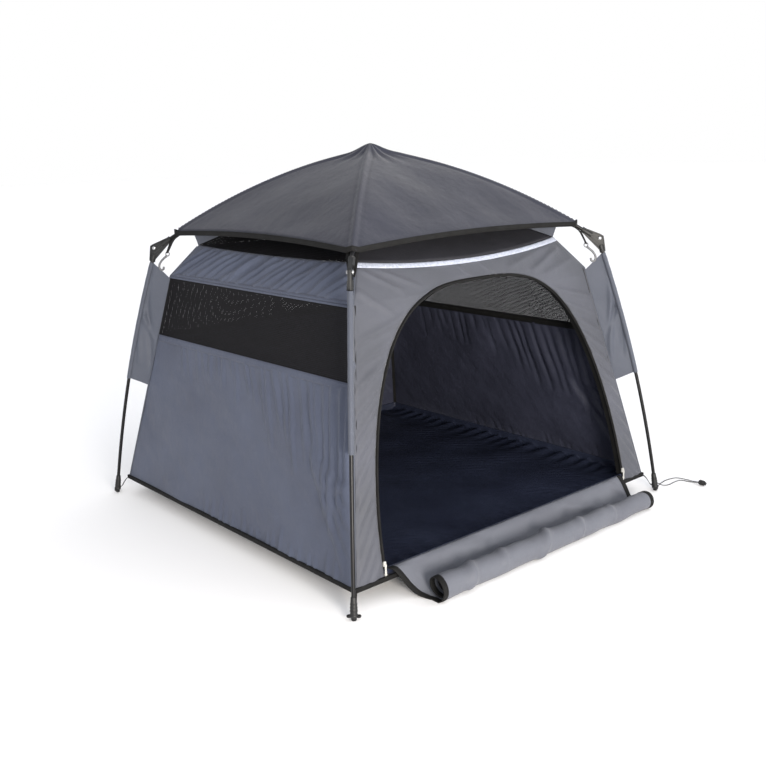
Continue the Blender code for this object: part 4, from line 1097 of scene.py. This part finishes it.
def puffed(line, radius, seed):
    """A cloth sleeve round a pole, a little puckered along its length."""
    draw = np.random.default_rng(seed)
    sizes = [1.0 + 0.10 * draw.random() for _ in line]
    sizes[0] = sizes[-1] = 0.97
    return swept(line, circle(radius, 16), sizes=sizes)


sleeve_cloth = cloth("sleeve_polyester", "#40444E", "#484C56", 0.55, WEAVE)
SLEEVE_TOP, SLEEVE_FOOT = 0.696, 0.356
sleeve_heights = [SLEEVE_TOP] + [p.z for p in leg_line if SLEEVE_FOOT < p.z < SLEEVE_TOP] + [SLEEVE_FOOT]
leg_run = [Vector((float(leg_reach(z)), 0.0, z)) for z in sleeve_heights]
roof_run = [place for place in roof_line if FIN_IN <= place.x <= FIN_OUT]
seam_line = [Vector((float(wall_half(np.array(z))) * math.sqrt(2), 0.0, z)) for z in
             (BASE_Z, 0.2, 0.35, 0.5, 0.62, BREAK_Z, 0.70, TOP_Z - 0.004)]
upright = []
for rule, across, up in ((fin_rule, 16, 60), (roof_fin_rule, 60, 8)):
    fin = sheet_of(rule, across, up)
    bmesh.ops.recalc_face_normals(fin, faces=fin.faces)
    bmesh.ops.solidify(fin, geom=fin.faces[:], thickness=0.0012)
    upright.append(fin)
SLEEVE_RADIUS, SEAM_RADIUS = 0.0062, 0.0018
upright += [puffed(leg_run, SLEEVE_RADIUS, 1), puffed(roof_run, SLEEVE_RADIUS, 2),
            swept(seam_line, circle(SEAM_RADIUS, 8))]
at_corners("sleeve", joined(upright), [sleeve_cloth], ["leg_sleeve"], 60)
inside_tapes = []
for turn in CORNERS.values():
    spin = about(turn)
    tape_line = [spin @ (place - Vector((0.0050, 0.0, 0.0))) for place in seam_line[:6]]
    inside_tapes.append(swept(tape_line, flat_section(0.0006, 0.0055), spin @ Vector((1.0, 0.0, 0.0))))
piece("corner_tape", joined(inside_tapes), [tape_skin], (), 40)

# Cabin roof: the same netting on three sides under the fly, and a grey cloth quarter over the doorway,
# coloured near-black as painted shade from the fly over it.
roof_slope = math.hypot(ROOF_HALF, ROOF_PEAK - TOP_Z)
NET_HALF = 0.3512


def roof_places(turn, sag):
    def places(u, v):
        ring = 1 - v / roof_slope
        half = NET_HALF * ring
        across = np.clip(np.abs(u) / np.maximum(half, 1e-6), 0, 1)
        drop = sag * (1 - across ** 2) * ring ** 3
        y = -(half + drop * math.sin(upper_lean))
        z = ROOF_PEAK + (ROOF_EDGE_Z - ROOF_PEAK) * ring - drop * math.cos(upper_lean)
        return turned(u, y, z, turn)
    return places


def quarter_rule(a, b):
    """The cloth quarter of the roof, from the front wall's top edge to the peak."""
    v = roof_slope * (b + 1) / 2
    u = a * 0.3505 * (1 - v / roof_slope)
    places = roof_places(0, FRONT_SAG)(u, v)
    places[:, 2] += ripple(u, v, 180, 8, 0.12, 0.0010)
    return places, np.stack([u, v], axis=1)


# The quarter's near-black colour is painted shade under the fly, not the cloth's own grey.
quarter_cloth_painted_shade = cloth("roof_polyester_painted_shade", "#232327", "#2B2B30", 0.60, WEAVE, 0.0)
roof_nets = [netting(NET_HALF, 0.0004, roof_slope - 0.0005, ROOF_PITCH, OPEN_SHARE,
                     roof_places(turn, SIDE_SAG)) for turn in (90, 180, 270)]
roof_net = piece("roof_net", joined(roof_nets), [net_skin], ["inner_roof"])
quarter = piece("roof_quarter", sheet_of(quarter_rule, 60, 40), [quarter_cloth_painted_shade], ())
thicken(quarter)

# Fly: four panels of darker polyester over hub and poles.  It is tight over each pole, which shows as
# a rounded ridge with a seam beside it, and its hem is bound in black tape.
fly_cloth = cloth("fly_polyester", "#232530", "#282A36", 0.50, WEAVE)
FLY_REACH, FLY_CUT, FLY_ARCH = 0.561, 0.551, 0.035
FLY_FRONT_GROWTH, FLY_FRONT = 0.020, 0.397
FLY_LIFT, PEAK_LIFT, PEAK_SPREAD = 0.0112, 0.0165, 0.045


def fly_height(reach):
    """Height of the fly over a roof pole at a reach along the diagonal, with the bump of the hub."""
    t = (reach - ROOF_IN[0]) / (ROOF_OUT[0] - ROOF_IN[0])
    roof = ROOF_IN[1] + (ROOF_OUT[1] - ROOF_IN[1]) * t + 4.3 * ROOF_BOW * t * (1 - t)
    return roof + FLY_LIFT + PEAK_LIFT * np.exp(-(reach / PEAK_SPREAD) ** 2)


def fly_places(a, b):
    ring = np.maximum(np.abs(a), np.abs(b))
    safe = np.maximum(ring, 1e-9)
    across = np.minimum(np.abs(a), np.abs(b)) / safe
    reach = FLY_REACH * ring ** 1.6 * (1 - FLY_ARCH * (1 - across * across) * ring * ring)
    half = reach / math.sqrt(2)
    x, y = half * a / safe, half * b / safe
    grow = 1 + FLY_FRONT_GROWTH * np.clip(-y / FLY_FRONT, 0, 1) ** 2
    x, y, reach = x * grow, y * grow, reach * grow
    over = np.maximum((np.abs(x) + np.abs(y)) / math.sqrt(2) - FLY_CUT * grow, 0.0)
    x, y = x - np.copysign(over / math.sqrt(2), x), y - np.copysign(over / math.sqrt(2), y)
    return np.stack([x, y, fly_height(reach - over)], axis=1), ring, across


def fly_rule(a, b):
    places, ring, across = fly_places(a, b)
    x, y = places[:, 0], places[:, 1]
    off_hip = np.abs(np.abs(x) - np.abs(y)) / math.sqrt(2)
    out = np.hypot(x, y)
    ridge = 0.0034 * np.exp(-(off_hip / 0.0065) ** 2) * settle(out - 0.03, 0.06)
    seam = -0.0016 * np.exp(-((off_hip - 0.0125) / 0.0025) ** 2) * settle(out - 0.03, 0.06)
    sag = -0.0045 * (1 - across ** 2) * settle(ring, 0.6) * settle(1.0 - ring, 0.12)
    angle = np.arctan2(y, x)
    pleats = 0.0022 * np.sin(angle * 12 + 0.7 * np.sin(angle * 3)) * np.exp(-((out - 0.06) / 0.045) ** 2)
    slack = ripple(x, y, 200, 10, 0.24, 0.0019) * settle(1 - ring, 0.05) * settle(ring, 0.15)
    lift = ridge + seam + sag + pleats + slack * (1 - np.exp(-(off_hip / 0.02) ** 2))
    places[:, 2] += lift
    return places, np.stack([x, y], axis=1)


fly = piece("rain_fly", sheet_of(fly_rule, 170, 170), [fly_cloth], ["fly"])
thicken(fly)


def hem_line(per_side):
    places = []
    for turn in SIDES.values():
        spin = about(turn)
        shares = np.array([-1 + 2 * step / per_side for step in range(per_side)])
        edge, _, _ = fly_places(shares, -np.ones(per_side))
        places += [spin @ Vector(place) for place in edge.tolist()]
    return places


hem_out = [Vector((p.x * 1.0020, p.y * 1.0020, p.z - 0.0022)) for p in hem_line(40)]
fly_hem = swept(hem_out, [(-0.0016, -0.0088), (0.0012, -0.0088), (0.0018, -0.0076), (0.0018, 0.0030),
                          (0.0006, 0.0042), (-0.0012, 0.0042), (-0.0020, 0.0030), (-0.0020, -0.0076)],
                square_sides(40), closed=True)
hook_plastic, tree, shader = new_material("light_grey_acetal", "#56575A", 0.40)
mottle(tree, shader, "#4B4C4F", "#626366", 150.0)
fly_parts = [fly_hem]
strap_section = flat_section(0.0018, 0.0050)
RING_PLACE, BARREL_PLACE = Vector((0.5895, 0.0, 0.7190)), Vector((0.5915, 0.0, 0.7145))
barrel_way = Vector((0.75, 0.0, -0.66))
for turn in CORNERS.values():
    spin = about(turn)
    for sign in (-1, 1):
        route = [(0.5440, sign * 0.0100, 0.7740), (0.5560, sign * 0.0098, 0.7690),
                 (0.5715, sign * 0.0085, 0.7570), (0.5830, sign * 0.0050, 0.7360),
                 (0.5895, sign * 0.0016, 0.7225)]
        line = [spin @ place for place in smooth_path(route, 0.005)]
        fly_parts.append(swept(line, strap_section, spin @ Vector((1.0, 0.0, 1.0)).normalized()))
    ring = [RING_PLACE + Vector((0.0052 * math.cos(t), 0.0, 0.0060 * math.sin(t)))
            for t in np.linspace(0, math.tau, 24, endpoint=False)]
    hook_route = [(0.5915, 0, 0.7140), (0.5960, 0, 0.7105), (0.6010, 0, 0.7065), (0.6085, 0, 0.6995),
                  (0.6150, 0, 0.6900), (0.6165, 0, 0.6800), (0.6120, 0, 0.6735), (0.6050, 0, 0.6755),
                  (0.6035, 0, 0.6825)]
    hook = swept(smooth_path(hook_route, 0.0022), circle(0.0030, 12))
    barrel = placed(lathe([(0.0, 0.0), (0.0030, 0.0), (0.0034, 0.0006), (0.0034, 0.0064), (0.0030, 0.0070),
                           (0.0, 0.0070)], 20),
                    Matrix.Translation(BARREL_PLACE) @ laid_along(barrel_way))
    for part in (swept(ring, circle(0.0014, 8), closed=True), hook, barrel):
        bmesh.ops.rotate(part, verts=part.verts, cent=(0, 0, 0), matrix=spin)
        fly_parts.append(painted(part, 1))
piece("fly_hem", joined(fly_parts), [tape_skin, hook_plastic], ["fly_binding"], 45)
